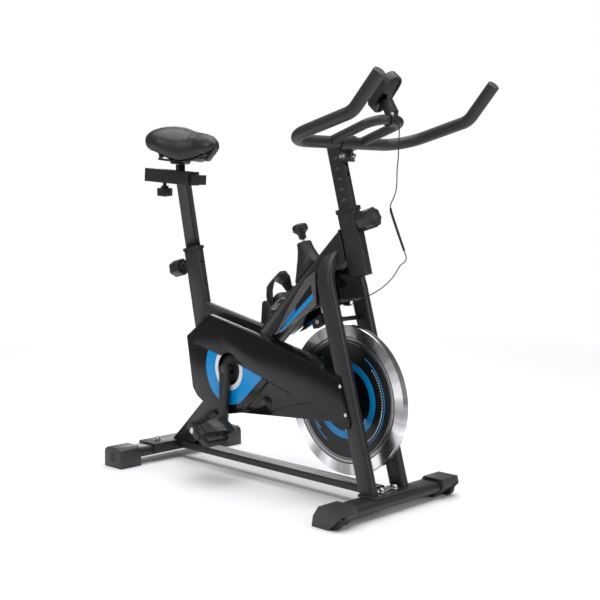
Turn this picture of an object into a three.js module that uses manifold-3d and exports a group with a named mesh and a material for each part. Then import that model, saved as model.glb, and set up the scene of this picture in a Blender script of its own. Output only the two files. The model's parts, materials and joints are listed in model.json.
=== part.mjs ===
// Spin bike: a welded steel frame on two stabilisers, a belt-driven flywheel between the fork
// legs, cranks with toe-cage pedals, and a saddle and handlebar on sliding posts.
// Millimetres, +X towards the handlebar, +Y to the rider's left, +Z up, floor at Z = 0.
import * as THREE from 'three';
import { mergeVertices } from 'three/addons/utils/BufferGeometryUtils.js';
import Module from 'manifold-3d';

const wasm = await Module();
wasm.setup();

// ---------------------------------------------------------------- driving dimensions
const GAP = 0.3; // clearance between neighbouring pieces
const WALL = 2; // steel tube wall
const CRANK = [-134.5, 312.5]; // crank axle in the XZ plane
const CRANK_LENGTH = 175;
const CRANK_LEAN = 2.6; // degrees the right arm points behind straight down
const ARM_INNER = 71.5; // |Y| of the arms' inner faces
const ARM_OUTER = 84.5; // |Y| of the arms' outer faces
const FLYWHEEL = [265, 269]; // flywheel axle in the XZ plane
const FLYWHEEL_R = 200;
const RIM_HALF = 9.5; // half the rim's width
const BELT_Y = -37; // middle plane of the belt drive
const CRANK_PULLEY_R = 105;
const FLYWHEEL_PULLEY_R = 30;
const BEAM_ANGLE = 43.4; // main beam above the horizontal
const BEAM_POINT = [-2.75, 430.9]; // a point on the main beam's centreline
const BEAM_DEPTH = 70;
const BEAM_WIDTH = 40;
const HEAD_TILT = 15.3; // head tube and bar post lean back
const HEAD_TOP = [266.6, 763];
const HEAD_LENGTH = 171.5;
const SEAT_TILT = 12.3; // seat tube and seat post lean back
const SEAT_TOP = [-362.5, 643];
const POST_SIZE = [50, 20]; // both posts, front to back and across
const SLEEVE_TUBE = [60, 30]; // the tubes that hold the posts
const FORK_Y = 61; // middle of each fork leg
const FORK_FOOT = [394, 50.8];
const FORK_SLOPE = 0.283; // rearward run for each unit of height
const BAR_R = 16; // handlebar tube radius
const BAR_CROSS = [256, 941.5]; // handlebar cross tube in the XZ plane
const BAR_HALF = 224;
const LOOP_R = 12.5;
const LOOP_HALF = 58;
const LOOP_FRONT = [408, 993];
const STABILISER_HALF = 239; // both stabilisers reach this |Y|
const FRONT_STABILISER = [411, 31.3];
const REAR_STABILISER = [-458.5, 36];
const STABILISER_SIZE = [70, 30];
const BRAKE_ANGLE = 21.4; // brake rod leans back, pointing at the flywheel's axle
const CASE_FACE = 64; // |Y| of the belt cover's outer face at the crank axle
const CASE_RIM = 24; // |Y| where the belt cover's rim ends
const CASE_FLARE = 0.03; // how fast that face moves out towards the fork
const SLIDER_TILT = 4.3; // saddle slider, nose down
const SADDLE_CENTRE = -375;

const rad = THREE.MathUtils.degToRad;
const Y_AXIS = new THREE.Vector3(0, 1, 0);

// ---------------------------------------------------------------- finishes
const finish = (color, roughness, metalness) => ({ color, roughness, metalness });
const FRAME_BLACK = finish(0x2b2b2c, 0.5, 0.3);
const BAR_BLACK = finish(0x303031, 0.55, 0.2);
const PLASTIC = finish(0x29292a, 0.6, 0);
const GLOSS_BLACK = finish(0x131314, 0.18, 0);
const TRIM_GREY = finish(0x5a5c5e, 0.4, 0.1);
const STEEL = finish(0xb4b4b4, 0.3, 1);
const CAST_BLACK = finish(0x0d0d0e, 0.5, 0.2);
const RUBBER = finish(0x202021, 0.8, 0);
const VINYL = finish(0x38383a, 0.5, 0);
const FELT = finish(0x242220, 0.95, 0);
const BUTTON_RED = finish(0xb02020, 0.5, 0);

// ---------------------------------------------------------------- making and joining solids
function solid(geometry) {
  const bare = geometry.clone();
  bare.deleteAttribute('normal');
  bare.deleteAttribute('uv');
  const merged = mergeVertices(bare, 1e-4);
  return new wasm.Manifold(new wasm.Mesh({
    numProp: 3,
    vertProperties: new Float32Array(merged.attributes.position.array),
    triVerts: new Uint32Array(merged.index.array),
  }));
}

const join = (first, ...rest) => rest.reduce((sum, piece) => sum.add(piece), first);
const cut = (first, ...rest) => rest.reduce((left, piece) => left.subtract(piece), first);

const group = new THREE.Group();

function part(name, shape, look) {
  const data = shape.getMesh();
  const geometry = new THREE.BufferGeometry();
  const places = new THREE.BufferAttribute(new Float32Array(data.vertProperties), 3);
  geometry.setAttribute('position', places);
  geometry.setIndex(new THREE.BufferAttribute(new Uint32Array(data.triVerts), 1));
  geometry.computeVertexNormals();
  const mesh = new THREE.Mesh(geometry, new THREE.MeshStandardMaterial(look));
  mesh.name = name;
  group.add(mesh);
  return mesh;
}

// ---------------------------------------------------------------- shapes and placing
const vec = (x, y, z) => new THREE.Vector3(x, y, z);
const onPlane = ([x, z], y = 0) => vec(x, y, z);

// Local Z runs along a direction in the XZ plane; local Y stays the bike's Y.
function placed(geometry, origin, direction) {
  const z = direction.clone().normalize();
  const x = new THREE.Vector3().crossVectors(Y_AXIS, z).normalize();
  const turn = new THREE.Matrix4().makeBasis(x, Y_AXIS, z).setPosition(origin);
  return geometry.applyMatrix4(turn);
}

function roundRect(width, height, radius) {
  const x = width / 2;
  const y = height / 2;
  const shape = new THREE.Shape();
  shape.absarc(x - radius, y - radius, radius, 0, Math.PI / 2);
  shape.absarc(radius - x, y - radius, radius, Math.PI / 2, Math.PI);
  shape.absarc(radius - x, radius - y, radius, Math.PI, 1.5 * Math.PI);
  shape.absarc(x - radius, radius - y, radius, 1.5 * Math.PI, 2 * Math.PI);
  return shape;
}

function circle(radius, x = 0, y = 0) {
  return new THREE.Shape().absarc(x, y, radius, 0, 2 * Math.PI);
}

function hollow(outer, inner) {
  outer.holes.push(inner);
  return outer;
}

function extruded(shape, depth, curveSegments = 4) {
  return new THREE.ExtrudeGeometry(shape, { depth, bevelEnabled: false, curveSegments });
}

// A bar of any section between two points of the XZ plane.
function bar(from, to, section, curveSegments = 4) {
  const along = new THREE.Vector3().subVectors(to, from);
  return placed(extruded(section, along.length(), curveSegments), from, along);
}

function boxTube(from, to, depth, width, corner) {
  const inner = roundRect(depth - 2 * WALL, width - 2 * WALL, corner - 1);
  return solid(bar(from, to, hollow(roundRect(depth, width, corner), inner), 1));
}

function boxBar(from, to, depth, width, corner, grow = 0) {
  return solid(bar(from, to, roundRect(depth + 2 * grow, width + 2 * grow, corner + grow), 1));
}

function rod(from, to, radius, sides = 20) {
  const along = new THREE.Vector3().subVectors(to, from);
  const geometry = new THREE.CylinderGeometry(radius, radius, along.length(), sides);
  geometry.translate(0, along.length() / 2, 0);
  const turn = new THREE.Quaternion().setFromUnitVectors(Y_AXIS, along.clone().normalize());
  geometry.applyQuaternion(turn);
  geometry.translate(from.x, from.y, from.z);
  return solid(geometry);
}

// A round piece on an axle along Y.
function disc([x, z], radius, y0, y1, sides = 32) {
  return rod(vec(x, y0, z), vec(x, y1, z), radius, sides);
}

// A turned piece whose profile is [radius, height] pairs; height runs along `axis`.
function turned(profile, origin, axis, sides = 24) {
  const points = profile.map(([r, h]) => new THREE.Vector2(r, h));
  const geometry = new THREE.LatheGeometry(points, sides);
  geometry.applyQuaternion(new THREE.Quaternion().setFromUnitVectors(Y_AXIS, axis));
  geometry.translate(origin.x, origin.y, origin.z);
  return solid(geometry);
}

// An outline in the XZ plane, made solid between two Y values.
function slab(outline, y0, y1, curveSegments = 6) {
  const shape = Array.isArray(outline)
    ? new THREE.Shape(outline.map(([x, z]) => new THREE.Vector2(x, z)))
    : outline;
  const geometry = extruded(shape, y1 - y0, curveSegments);
  geometry.rotateX(Math.PI / 2);
  geometry.translate(0, y1, 0);
  return solid(geometry);
}

function box(x0, x1, y0, y1, z0, z1) {
  const geometry = new THREE.BoxGeometry(x1 - x0, y1 - y0, z1 - z0);
  geometry.translate((x0 + x1) / 2, (y0 + y1) / 2, (z0 + z1) / 2);
  return solid(geometry);
}

const flipped = (shape) => shape.mirror([0, 1, 0]);

// A centreline of straight runs and round bends, sampled only where it turns.
class BentLine extends THREE.Curve {
  constructor(corners, radii, bendSteps = 6) {
    super();
    this.stations = [{ at: corners[0], along: this.direction(corners[0], corners[1]) }];
    for (let i = 1; i < corners.length - 1; i += 1) {
      this.addBend(corners[i - 1], corners[i], corners[i + 1], radii[i - 1], bendSteps);
    }
    const last = corners.length - 1;
    this.stations.push({ at: corners[last], along: this.direction(corners[last - 1], corners[last]) });
  }

  direction(from, to) {
    return new THREE.Vector3().subVectors(to, from).normalize();
  }

  addBend(before, corner, after, radius, bendSteps) {
    const into = this.direction(before, corner);
    const out = this.direction(corner, after);
    const angle = into.angleTo(out);
    const start = corner.clone().addScaledVector(into, -radius * Math.tan(angle / 2));
    const inward = out.clone().addScaledVector(into, -out.dot(into)).normalize();
    for (let k = 0; k <= bendSteps; k += 1) {
      const turn = (angle * k) / bendSteps;
      const at = start.clone().addScaledVector(into, radius * Math.sin(turn));
      at.addScaledVector(inward, radius * (1 - Math.cos(turn)));
      const along = into.clone().multiplyScalar(Math.cos(turn));
      along.addScaledVector(inward, Math.sin(turn));
      this.stations.push({ at, along });
    }
  }

  get steps() {
    return this.stations.length - 1;
  }

  getPointAt(u) {
    return this.stations[Math.round(u * this.steps)].at.clone();
  }

  getTangentAt(u) {
    return this.stations[Math.round(u * this.steps)].along.clone();
  }

  getSpacedPoints() {
    return this.stations.map((station) => station.at.clone());
  }
}

function swept(section, path, curveSegments = 4) {
  const settings = { steps: path.steps, extrudePath: path, bevelEnabled: false, curveSegments };
  return solid(new THREE.ExtrudeGeometry(section, settings));
}

function bentRod(corners, radii, radius, curveSegments = 5, bendSteps = 5) {
  return swept(circle(radius), new BentLine(corners, radii, bendSteps), curveSegments);
}

// ---------------------------------------------------------------- axes of the leaning tubes
const lean = (degrees) => vec(-Math.sin(rad(degrees)), 0, Math.cos(rad(degrees)));
const ahead = (degrees) => vec(Math.cos(rad(degrees)), 0, Math.sin(rad(degrees)));
const HEAD_UP = lean(HEAD_TILT);
const HEAD_FORWARD = ahead(HEAD_TILT);
const SEAT_UP = lean(SEAT_TILT);
const SEAT_FORWARD = ahead(SEAT_TILT);

function onHead(up, forward = 0, y = 0) {
  const at = onPlane(HEAD_TOP, y);
  return at.addScaledVector(HEAD_UP, up).addScaledVector(HEAD_FORWARD, forward);
}

function onSeat(up, forward = 0, y = 0) {
  const at = onPlane(SEAT_TOP, y);
  return at.addScaledVector(SEAT_UP, up).addScaledVector(SEAT_FORWARD, forward);
}

// ---------------------------------------------------------------- frame: tubes
const headBody = (grow) => boxBar(onHead(-HEAD_LENGTH), onHead(0), ...SLEEVE_TUBE, 6, grow);
const SEAT_LENGTH = 422;
const seatBody = (grow) => boxBar(onSeat(-SEAT_LENGTH), onSeat(0), ...SLEEVE_TUBE, 6, grow);

const BEAM_ALONG = vec(Math.cos(rad(BEAM_ANGLE)), 0, Math.sin(rad(BEAM_ANGLE)));
const onBeam = (distance) => onPlane(BEAM_POINT).addScaledVector(BEAM_ALONG, distance);
const BEAM_LOW = onBeam(-640);
const BEAM_HIGH = onBeam(430);
const beamBody = (grow) => boxBar(BEAM_LOW, BEAM_HIGH, BEAM_DEPTH, BEAM_WIDTH, 6, grow);

const SHELL_R = 22; // bottom bracket shell
const SHELL_HALF = 28;
const SHELL_BORE = 17.5;
const RAIL_LOW = 34;
const RAIL_HIGH = 54;
const BRACKET_TOP = 56;
const BRACKET_X = [-498, -419];
const rearBracketBlock = box(BRACKET_X[0] - GAP, BRACKET_X[1] + GAP, -115, 115, 0, BRACKET_TOP + GAP);
const belowRail = box(-600, 0, -60, 60, -200, RAIL_LOW);
const shellBody = disc(CRANK, SHELL_R, -SHELL_HALF, SHELL_HALF);
const shellBore = disc(CRANK, SHELL_BORE, -60, 60);

const PIN_R = 6; // knob screws
const headPinHole = rod(onHead(-35, 0), onHead(-35, 60), PIN_R + GAP, 12);
const seatPinHole = rod(onSeat(-41, 0), onSeat(-41, -60), PIN_R + GAP, 12);

// The brake rod points at the flywheel's axle.
const BRAKE_UP = lean(BRAKE_ANGLE);
const onBrake = (distance, y = 0) => onPlane(FLYWHEEL, y).addScaledVector(BRAKE_UP, distance);
const BRAKE_ROD_R = 4;
const brakeHole = rod(onBrake(240), onBrake(460), BRAKE_ROD_R + 1, 12);

const beamTube = boxTube(BEAM_LOW, BEAM_HIGH, BEAM_DEPTH, BEAM_WIDTH, 6);
const beamEnds = cut(beamTube, headBody(GAP), rearBracketBlock, belowRail);
// The head tube's far side leaves a stray tip of the beam, which this box removes.
const pastHead = placed(new THREE.BoxGeometry(200, 80, 400), onHead(-80, 115), HEAD_UP);
const beamTrimmed = cut(beamEnds, solid(pastHead));
part('main_beam', cut(join(beamTrimmed, shellBody), shellBore, brakeHole), FRAME_BLACK);

const headTube = boxTube(onHead(-HEAD_LENGTH), onHead(0), ...SLEEVE_TUBE, 6);
part('head_tube', cut(headTube, headPinHole), FRAME_BLACK);

const seatTube = boxTube(onSeat(-SEAT_LENGTH), onSeat(0), ...SLEEVE_TUBE, 6);
const seatFrontHole = rod(onSeat(-41, 0), onSeat(-41, 60), 3.5, 12);
part('seat_tube', cut(seatTube, beamBody(GAP), seatPinHole, seatFrontHole, shellBody), FRAME_BLACK);

// The top tube drops slightly from the seat tube to the main beam.
const TOP_TUBE_REAR = vec(-300, 0, 466);
const TOP_TUBE_FRONT = vec(40, 0, 397.5);
const topBody = boxTube(TOP_TUBE_REAR, TOP_TUBE_FRONT, 50, 30, 9);
part('top_tube', cut(topBody, seatBody(GAP), beamBody(GAP), pastBeam(), behindSeat()), FRAME_BLACK);

// Everything on the front side of the main beam's centreline.
function pastBeam() {
  const half = new THREE.BoxGeometry(300, 100, 900);
  return solid(placed(half, onBeam(0).add(vec(105, 0, -110)), BEAM_ALONG));
}

// Everything behind the seat tube's centreline.
function behindSeat() {
  return solid(placed(new THREE.BoxGeometry(200, 100, 900), onSeat(-200, -100), SEAT_UP));
}

// ---------------------------------------------------------------- frame: fork legs
const FORK_UP = vec(-FORK_SLOPE, 0, 1).normalize();
const FORK_SIZE = [25, 50];
const FORK_BEND_R = 100;
const FORK_BEND_START = 535; // run of straight leg above the base plate
const FORK_BEND_ANGLE = 60;

const FORK_OVERRUN = 12; // extra length below the base plate, trimmed off level

function forkPath() {
  const foot = onPlane(FORK_FOOT, -FORK_Y).addScaledVector(FORK_UP, -FORK_OVERRUN);
  const reach = FORK_BEND_R * Math.tan(rad(FORK_BEND_ANGLE / 2));
  const run = FORK_BEND_START + FORK_OVERRUN + reach;
  const corner = foot.clone().addScaledVector(FORK_UP, run);
  const out = FORK_UP.clone().multiplyScalar(Math.cos(rad(FORK_BEND_ANGLE)));
  out.addScaledVector(Y_AXIS, Math.sin(rad(FORK_BEND_ANGLE)));
  const end = corner.clone().addScaledVector(out, reach + 6);
  return new BentLine([foot, corner, end], [FORK_BEND_R], 5);
}

function forkBody(grow) {
  const section = roundRect(FORK_SIZE[0] + 2 * grow, FORK_SIZE[1] + 2 * grow, 8 + grow);
  return swept(section, forkPath(), 2);
}

function forkLeg() {
  const inner = roundRect(FORK_SIZE[0] - 2 * WALL, FORK_SIZE[1] - 2 * WALL, 6);
  const leg = swept(hollow(roundRect(...FORK_SIZE, 8), inner), forkPath(), 1);
  const beamSide = box(0, 500, -BEAM_WIDTH / 2 - GAP, 40, 400, 900);
  const belowPlate = box(300, 500, -100, 0, 0, FORK_FOOT[1]);
  return join(cut(leg, beamSide, belowPlate, headBody(GAP)), dropout());
}

// The axle plate welded behind a leg; the flywheel's axle sits in its hole.
function dropout() {
  const [x, z] = FLYWHEEL;
  const legX = (height) => FORK_FOOT[0] - FORK_SLOPE * (height - FORK_FOOT[1]);
  const outline = new THREE.Shape();
  outline.moveTo(legX(z + 48), z + 48);
  outline.lineTo(x + 4, z + 22);
  outline.absarc(x, z, 22, Math.PI / 2, 1.5 * Math.PI);
  outline.lineTo(legX(z - 48), z - 48);
  const plate = slab(outline, -FORK_Y - 4, -FORK_Y + 4);
  return cut(plate, disc(FLYWHEEL, 10 + GAP, -100, 100, 24));
}

const rightLeg = forkLeg();
part('fork_leg_right', rightLeg, FRAME_BLACK);
part('fork_leg_left', flipped(rightLeg), FRAME_BLACK);

// ---------------------------------------------------------------- frame: base
const railBody = boxTube(vec(-420, 0, 44), vec(374.5, 0, 44), RAIL_HIGH - RAIL_LOW, 50, 3);
part('bottom_rail', cut(railBody, beamBody(GAP), box(-600, -395, -60, 60, 0, 100)), FRAME_BLACK);

function stabiliser([x, z], half) {
  const section = hollow(
    roundRect(STABILISER_SIZE[0], STABILISER_SIZE[1], 14.9),
    roundRect(STABILISER_SIZE[0] - 2 * WALL, STABILISER_SIZE[1] - 2 * WALL, 12.9),
  );
  const geometry = extruded(section, 2 * half, 2);
  geometry.rotateX(Math.PI / 2);
  geometry.translate(x, half, z);
  return solid(geometry);
}

const FRONT_TUBE_HALF = 207;
const REAR_TUBE_HALF = 233;
const BOLT_R = 5;
const BASE_BOLT_Y = 26;
const REAR_BOLT_Y = 70;
const boltHole = (x, y) => rod(vec(x, y, -5), vec(x, y, 90), BOLT_R + GAP, 12);

const frontHoles = [-BASE_BOLT_Y, BASE_BOLT_Y].map((y) => boltHole(FRONT_STABILISER[0] - 2, y));
const rearHoles = [-REAR_BOLT_Y, REAR_BOLT_Y].map((y) => boltHole(REAR_STABILISER[0], y));
const frontTube = stabiliser(FRONT_STABILISER, FRONT_TUBE_HALF);
const rearTube = stabiliser(REAR_STABILISER, REAR_TUBE_HALF);
part('front_stabiliser', cut(frontTube, ...frontHoles), FRAME_BLACK);
part('rear_stabiliser', cut(rearTube, ...rearHoles), FRAME_BLACK);

function basePlate() {
  const shape = roundRect(62, 176, 10);
  const geometry = extruded(shape, 4, 2);
  geometry.translate(407, 0, 46.5);
  return cut(solid(geometry), ...frontHoles);
}
part('front_base_plate', basePlate(), FRAME_BLACK);

// The room that a stabiliser tube takes up, a little larger than the tube.
function tubeRoom([x, z], half) {
  const section = roundRect(STABILISER_SIZE[0] + 2 * GAP, STABILISER_SIZE[1] + 2 * GAP, 15);
  const geometry = extruded(section, 2 * half + 2 * GAP, 2);
  geometry.rotateX(Math.PI / 2);
  geometry.translate(x, half + GAP, z);
  return solid(geometry);
}

// The rear bracket is a channel folded over the stabiliser and bolted through it.
function rearBracket() {
  const [x0, x1] = BRACKET_X;
  const channel = box(x0, x1, -112, 112, 27, BRACKET_TOP);
  const below = box(x0 + 6, x1 - 6, -150, 150, 0, REAR_STABILISER[1]);
  const bracket = cut(channel, tubeRoom(REAR_STABILISER, REAR_TUBE_HALF), below);
  const bolts = [-REAR_BOLT_Y, REAR_BOLT_Y].map((y) => (
    verticalBolt(REAR_STABILISER[0], y, BRACKET_TOP - 1, 18)
  ));
  return join(bracket, ...bolts);
}
part('rear_bracket', rearBracket(), FRAME_BLACK);

// A bolt under a domed nut and its washer.
function verticalBolt(x, y, seat, bottom) {
  const profile = [
    [0, bottom - seat], [BOLT_R, bottom - seat], [BOLT_R, 0.3], [10, 0.3], [10, 2],
    [7.5, 2], [7.5, 7], [6, 10], [3.5, 11.6], [0, 12],
  ];
  return turned(profile, vec(x, y, seat), vec(0, 0, 1), 12);
}

for (const [side, sign] of [['right', -1], ['left', 1]]) {
  const front = verticalBolt(FRONT_STABILISER[0] - 2, sign * BASE_BOLT_Y, 50.5, 12);
  part(`base_bolt_${side}`, front, STEEL);
}

// ---------------------------------------------------------------- end caps, wheels and feet
const WHEEL = [430, 21.6]; // transport wheel axle in the XZ plane
const WHEEL_R = 20.6;
const WHEEL_PIN_R = 4;
const WHEEL_SLOT = [-232, -212];
const CAP_INNER = -171;

// The cap closes the tube's end and carries the transport wheel on a moulded pin.
function frontCap() {
  const outline = [
    [365, 0], [420, 0], [443, 21], [456, 34.5], [451, 54], [388, 54], [369.5, 27],
  ];
  const body = slab(outline, -STABILISER_HALF, CAP_INNER);
  const slot = disc(WHEEL, WHEEL_R + 2, ...WHEEL_SLOT, 24);
  const mouth = box(WHEEL[0], 480, ...WHEEL_SLOT, -5, WHEEL[1] + 14);
  const under = box(WHEEL[0] - 18, 480, ...WHEEL_SLOT, -5, WHEEL[1]);
  const pin = disc(WHEEL, WHEEL_PIN_R, WHEEL_SLOT[0] - 3, WHEEL_SLOT[1] + 3, 16);
  const shell = cut(body, tubeRoom(FRONT_STABILISER, FRONT_TUBE_HALF), slot, mouth, under);
  return join(shell, pin);
}

function transportWheel() {
  const bore = WHEEL_PIN_R + GAP;
  const half = 8;
  const profile = [
    [bore, -half], [17.5, -half], [WHEEL_R, 3 - half], [WHEEL_R, half - 3], [17.5, half],
    [bore, half], [bore, -half],
  ];
  const middle = (WHEEL_SLOT[0] + WHEEL_SLOT[1]) / 2;
  return turned(profile, onPlane(WHEEL, middle), Y_AXIS, 28);
}

function rearFoot() {
  const outline = [
    [-499, 0], [-418, 0], [-418, 44], [-422, 53], [-432, 59], [-485, 59], [-495, 53], [-499, 44],
  ];
  const body = slab(outline, -STABILISER_HALF, -165);
  const recess = box(-470, -447, -STABILISER_HALF - 1, -STABILISER_HALF + 2.5, 18, 42);
  return cut(body, tubeRoom(REAR_STABILISER, REAR_TUBE_HALF), recess);
}

const onBothSides = (name, shape, look) => {
  part(`${name}_right`, shape, look);
  part(`${name}_left`, flipped(shape), look);
};

onBothSides('front_cap', frontCap(), PLASTIC);
onBothSides('transport_wheel', transportWheel(), RUBBER);
onBothSides('rear_foot', rearFoot(), PLASTIC);

// ---------------------------------------------------------------- cranks
const AXLE_R = 8;
const AXLE_HALF = 82;
const SPINDLE_R = 6;

part('crank_axle', disc(CRANK, AXLE_R, -AXLE_HALF, AXLE_HALF, 20), STEEL);

function bracketCartridge() {
  const bore = AXLE_R + GAP;
  const outer = SHELL_BORE - GAP;
  const profile = [[bore, -29], [outer, -29], [outer, 29], [bore, 29], [bore, -29]];
  return turned(profile, onPlane(CRANK), Y_AXIS, 24);
}
part('bottom_bracket_cartridge', bracketCartridge(), STEEL);

// Unit vector from the crank axle to the right pedal; the left pedal is opposite.
const ARM_DOWN = [-Math.sin(rad(CRANK_LEAN)), -Math.cos(rad(CRANK_LEAN))];
const pedalCentre = (sign) => [
  CRANK[0] - sign * ARM_DOWN[0] * CRANK_LENGTH,
  CRANK[1] - sign * ARM_DOWN[1] * CRANK_LENGTH,
];

// A flat arm tapering from the axle boss to the pedal boss, with the pedal's spindle.
function crankArm(sign) {
  const [px, pz] = pedalCentre(sign);
  const towards = Math.atan2(pz - CRANK[1], px - CRANK[0]);
  const shape = new THREE.Shape();
  shape.absarc(...CRANK, 18, towards + Math.PI / 2, towards + 1.5 * Math.PI);
  shape.absarc(px, pz, 12.5, towards - Math.PI / 2, towards + Math.PI / 2);
  const faces = [sign * ARM_INNER, sign * ARM_OUTER].sort((a, b) => a - b);
  const arm = slab(shape, ...faces, 8);
  const ends = [sign * (ARM_OUTER - 6), sign * 176].sort((a, b) => a - b);
  const spindle = disc([px, pz], SPINDLE_R, ...ends, 16);
  return join(cut(arm, disc(CRANK, AXLE_R + GAP, -100, 100, 20)), spindle);
}
part('crank_arm_right', crankArm(-1), FRAME_BLACK);
part('crank_arm_left', crankArm(1), FRAME_BLACK);

// ---------------------------------------------------------------- belt drive
function crankPulley() {
  const bore = AXLE_R + GAP;
  const [outer, inner] = [BELT_Y - 9, BELT_Y + 7];
  const r = CRANK_PULLEY_R;
  const profile = [
    [bore, outer], [24, outer], [24, -40], [96, -40], [96, outer + 1], [r, outer + 1],
    [r, inner - 1], [r + 3, inner - 1], [r + 3, inner], [96, inner], [96, -34], [24, -34],
    [24, inner], [bore, inner], [bore, outer],
  ];
  const windows = [0, 1, 2, 3, 4].map((k) => {
    const turn = (k * 2 * Math.PI) / 5;
    const at = [CRANK[0] + 60 * Math.cos(turn), CRANK[1] + 60 * Math.sin(turn)];
    return disc(at, 22, -60, 0, 10);
  });
  return cut(turned(profile, onPlane(CRANK), Y_AXIS, 32), ...windows);
}
part('crank_pulley', crankPulley(), PLASTIC);

const AXLE_ROD_R = 10;
const HUB_HALF = 22;

function flywheelPulley() {
  const bore = AXLE_ROD_R + GAP;
  const [outer, inner] = [BELT_Y - 9, BELT_Y + 8.5];
  const r = FLYWHEEL_PULLEY_R;
  const profile = [
    [bore, outer], [r + 3, outer], [r + 3, outer + 2.2], [r, outer + 2.2], [r, inner - 2.2],
    [r + 3, inner - 2.2], [r + 3, inner], [20, inner], [20, -HUB_HALF - GAP],
    [bore, -HUB_HALF - GAP], [bore, outer],
  ];
  return turned(profile, onPlane(FLYWHEEL), Y_AXIS, 24);
}
part('flywheel_pulley', flywheelPulley(), STEEL);

function flywheel() {
  const bore = AXLE_ROD_R + GAP;
  const web = 7;
  const profile = [
    [bore, -HUB_HALF], [32, -HUB_HALF], [32, -web], [154, -web], [158, -RIM_HALF],
    [FLYWHEEL_R, -RIM_HALF], [FLYWHEEL_R, RIM_HALF], [158, RIM_HALF], [154, web], [32, web],
    [32, HUB_HALF],
    [bore, HUB_HALF], [bore, -HUB_HALF],
  ];
  return turned(profile, onPlane(FLYWHEEL), Y_AXIS, 48);
}
part('flywheel', flywheel(), CAST_BLACK);

// A fixed axle clamped in the dropouts by a nut at each end.
function flywheelAxle() {
  const nut = [FORK_Y + 4.3, FORK_Y + 10];
  const r = AXLE_ROD_R - GAP;
  const profile = [
    [0, -nut[1]], [13, -nut[1]], [13, -nut[0]], [r, -nut[0]], [r, nut[0]], [13, nut[0]],
    [13, nut[1]], [0, nut[1]],
  ];
  return turned(profile, onPlane(FLYWHEEL), Y_AXIS, 18);
}
part('flywheel_axle', flywheelAxle(), STEEL);

// A loop lying on both pulleys, `extra` outside their rims.
function beltOutline(extra) {
  const dx = FLYWHEEL[0] - CRANK[0];
  const dz = FLYWHEEL[1] - CRANK[1];
  const line = Math.atan2(dz, dx);
  const contact = Math.acos((CRANK_PULLEY_R - FLYWHEEL_PULLEY_R) / Math.hypot(dx, dz));
  const shape = new THREE.Shape();
  const big = CRANK_PULLEY_R + extra;
  const small = FLYWHEEL_PULLEY_R + extra;
  shape.absarc(...CRANK, big, line + contact, line + 2 * Math.PI - contact);
  shape.absarc(...FLYWHEEL, small, line - contact, line + contact);
  shape.closePath();
  return shape;
}
const belt = hollow(beltOutline(4), beltOutline(GAP));
part('drive_belt', slab(belt, BELT_Y - 6, BELT_Y + 6, 12), RUBBER);

// ---------------------------------------------------------------- belt cover
const CASE_OUTLINE = [
  [-327.7, 390.3], [-301.2, 240.1], [-280.7, 216.7], [-190, 171.3], [-78.4, 193.9],
  [162.5, 213.4], [238.4, 219.8], [280.6, 222.5], [339, 210.3], [346.6, 224.1],
  [307.5, 342.2], [244.3, 357.4], [238, 365.9], [-224, 461.8],
];
const CASE_WALL = 2.5;
const CASE_HUB_R = 46.9;

// Moves every side of an outline inwards by the same distance.
function inset(outline, distance) {
  const count = outline.length;
  const sides = outline.map(([x, z], i) => {
    const [nx, nz] = outline[(i + 1) % count];
    const length = Math.hypot(nx - x, nz - z);
    const [dx, dz] = [(nx - x) / length, (nz - z) / length];
    return { x: x - dz * distance, z: z + dx * distance, dx, dz };
  });
  return sides.map((side, i) => {
    const before = sides[(i + count - 1) % count];
    const cross = before.dx * side.dz - before.dz * side.dx;
    const along = ((side.x - before.x) * side.dz - (side.z - before.z) * side.dx) / cross;
    return [before.x + before.dx * along, before.z + before.dz * along];
  });
}

// A slab whose outer face leans out towards the fork.
function flaredSlab(outline, outer, inner) {
  const shape = new THREE.Shape(outline.map(([x, z]) => new THREE.Vector2(x, z)));
  const geometry = extruded(shape, outer - inner, 4);
  geometry.rotateX(Math.PI / 2);
  geometry.translate(0, -inner, 0);
  const places = geometry.attributes.position;
  for (let i = 0; i < places.count; i += 1) {
    if (places.getY(i) < -inner - 1) {
      places.setY(i, places.getY(i) - CASE_FLARE * (places.getX(i) - CRANK[0]));
    }
  }
  return solid(geometry);
}

function chainCase() {
  const outer = flaredSlab(CASE_OUTLINE, CASE_FACE, CASE_RIM);
  const room = flaredSlab(inset(CASE_OUTLINE, CASE_WALL), CASE_FACE - CASE_WALL, CASE_RIM - 5);
  const hub = disc(CRANK, CASE_HUB_R, -90, -40, 40);
  return cut(outer, room, hub, forkBody(0.6));
}
part('chain_case', chainCase(), GLOSS_BLACK);

function chainCaseBack() {
  const plate = slab(inset(CASE_OUTLINE, CASE_WALL + GAP), -CASE_RIM - 2.8, -CASE_RIM - GAP);
  return cut(plate, disc(CRANK, SHELL_R + 1, -40, 0, 24), disc(FLYWHEEL, 36, -40, 0, 24));
}
part('chain_case_back', chainCaseBack(), PLASTIC);

// ---------------------------------------------------------------- front shroud and trim
const SHROUD_HALF = 46;
const SHROUD_OUTLINE = [
  [18.6, 416.5], [79, 458], [120, 477], [196, 510], [237, 525], [278.6, 531], [281, 539],
  [278, 558], [270, 577], [256, 597], [234.5, 615], [200, 605], [160, 580], [98, 504], [58, 448],
];

function frontShroud() {
  const outer = slab(SHROUD_OUTLINE, -SHROUD_HALF, SHROUD_HALF);
  const lowered = SHROUD_OUTLINE.map(([x, z], i) => (i < 6 ? [x, z - 30] : [x, z]));
  const half = SHROUD_HALF - CASE_WALL;
  const room = slab(inset(lowered, CASE_WALL), -half, half);
  const legs = [forkBody(GAP), flipped(forkBody(GAP))];
  return cut(outer, room, beamBody(GAP), ...legs);
}
part('front_shroud', frontShroud(), GLOSS_BLACK);

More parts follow.
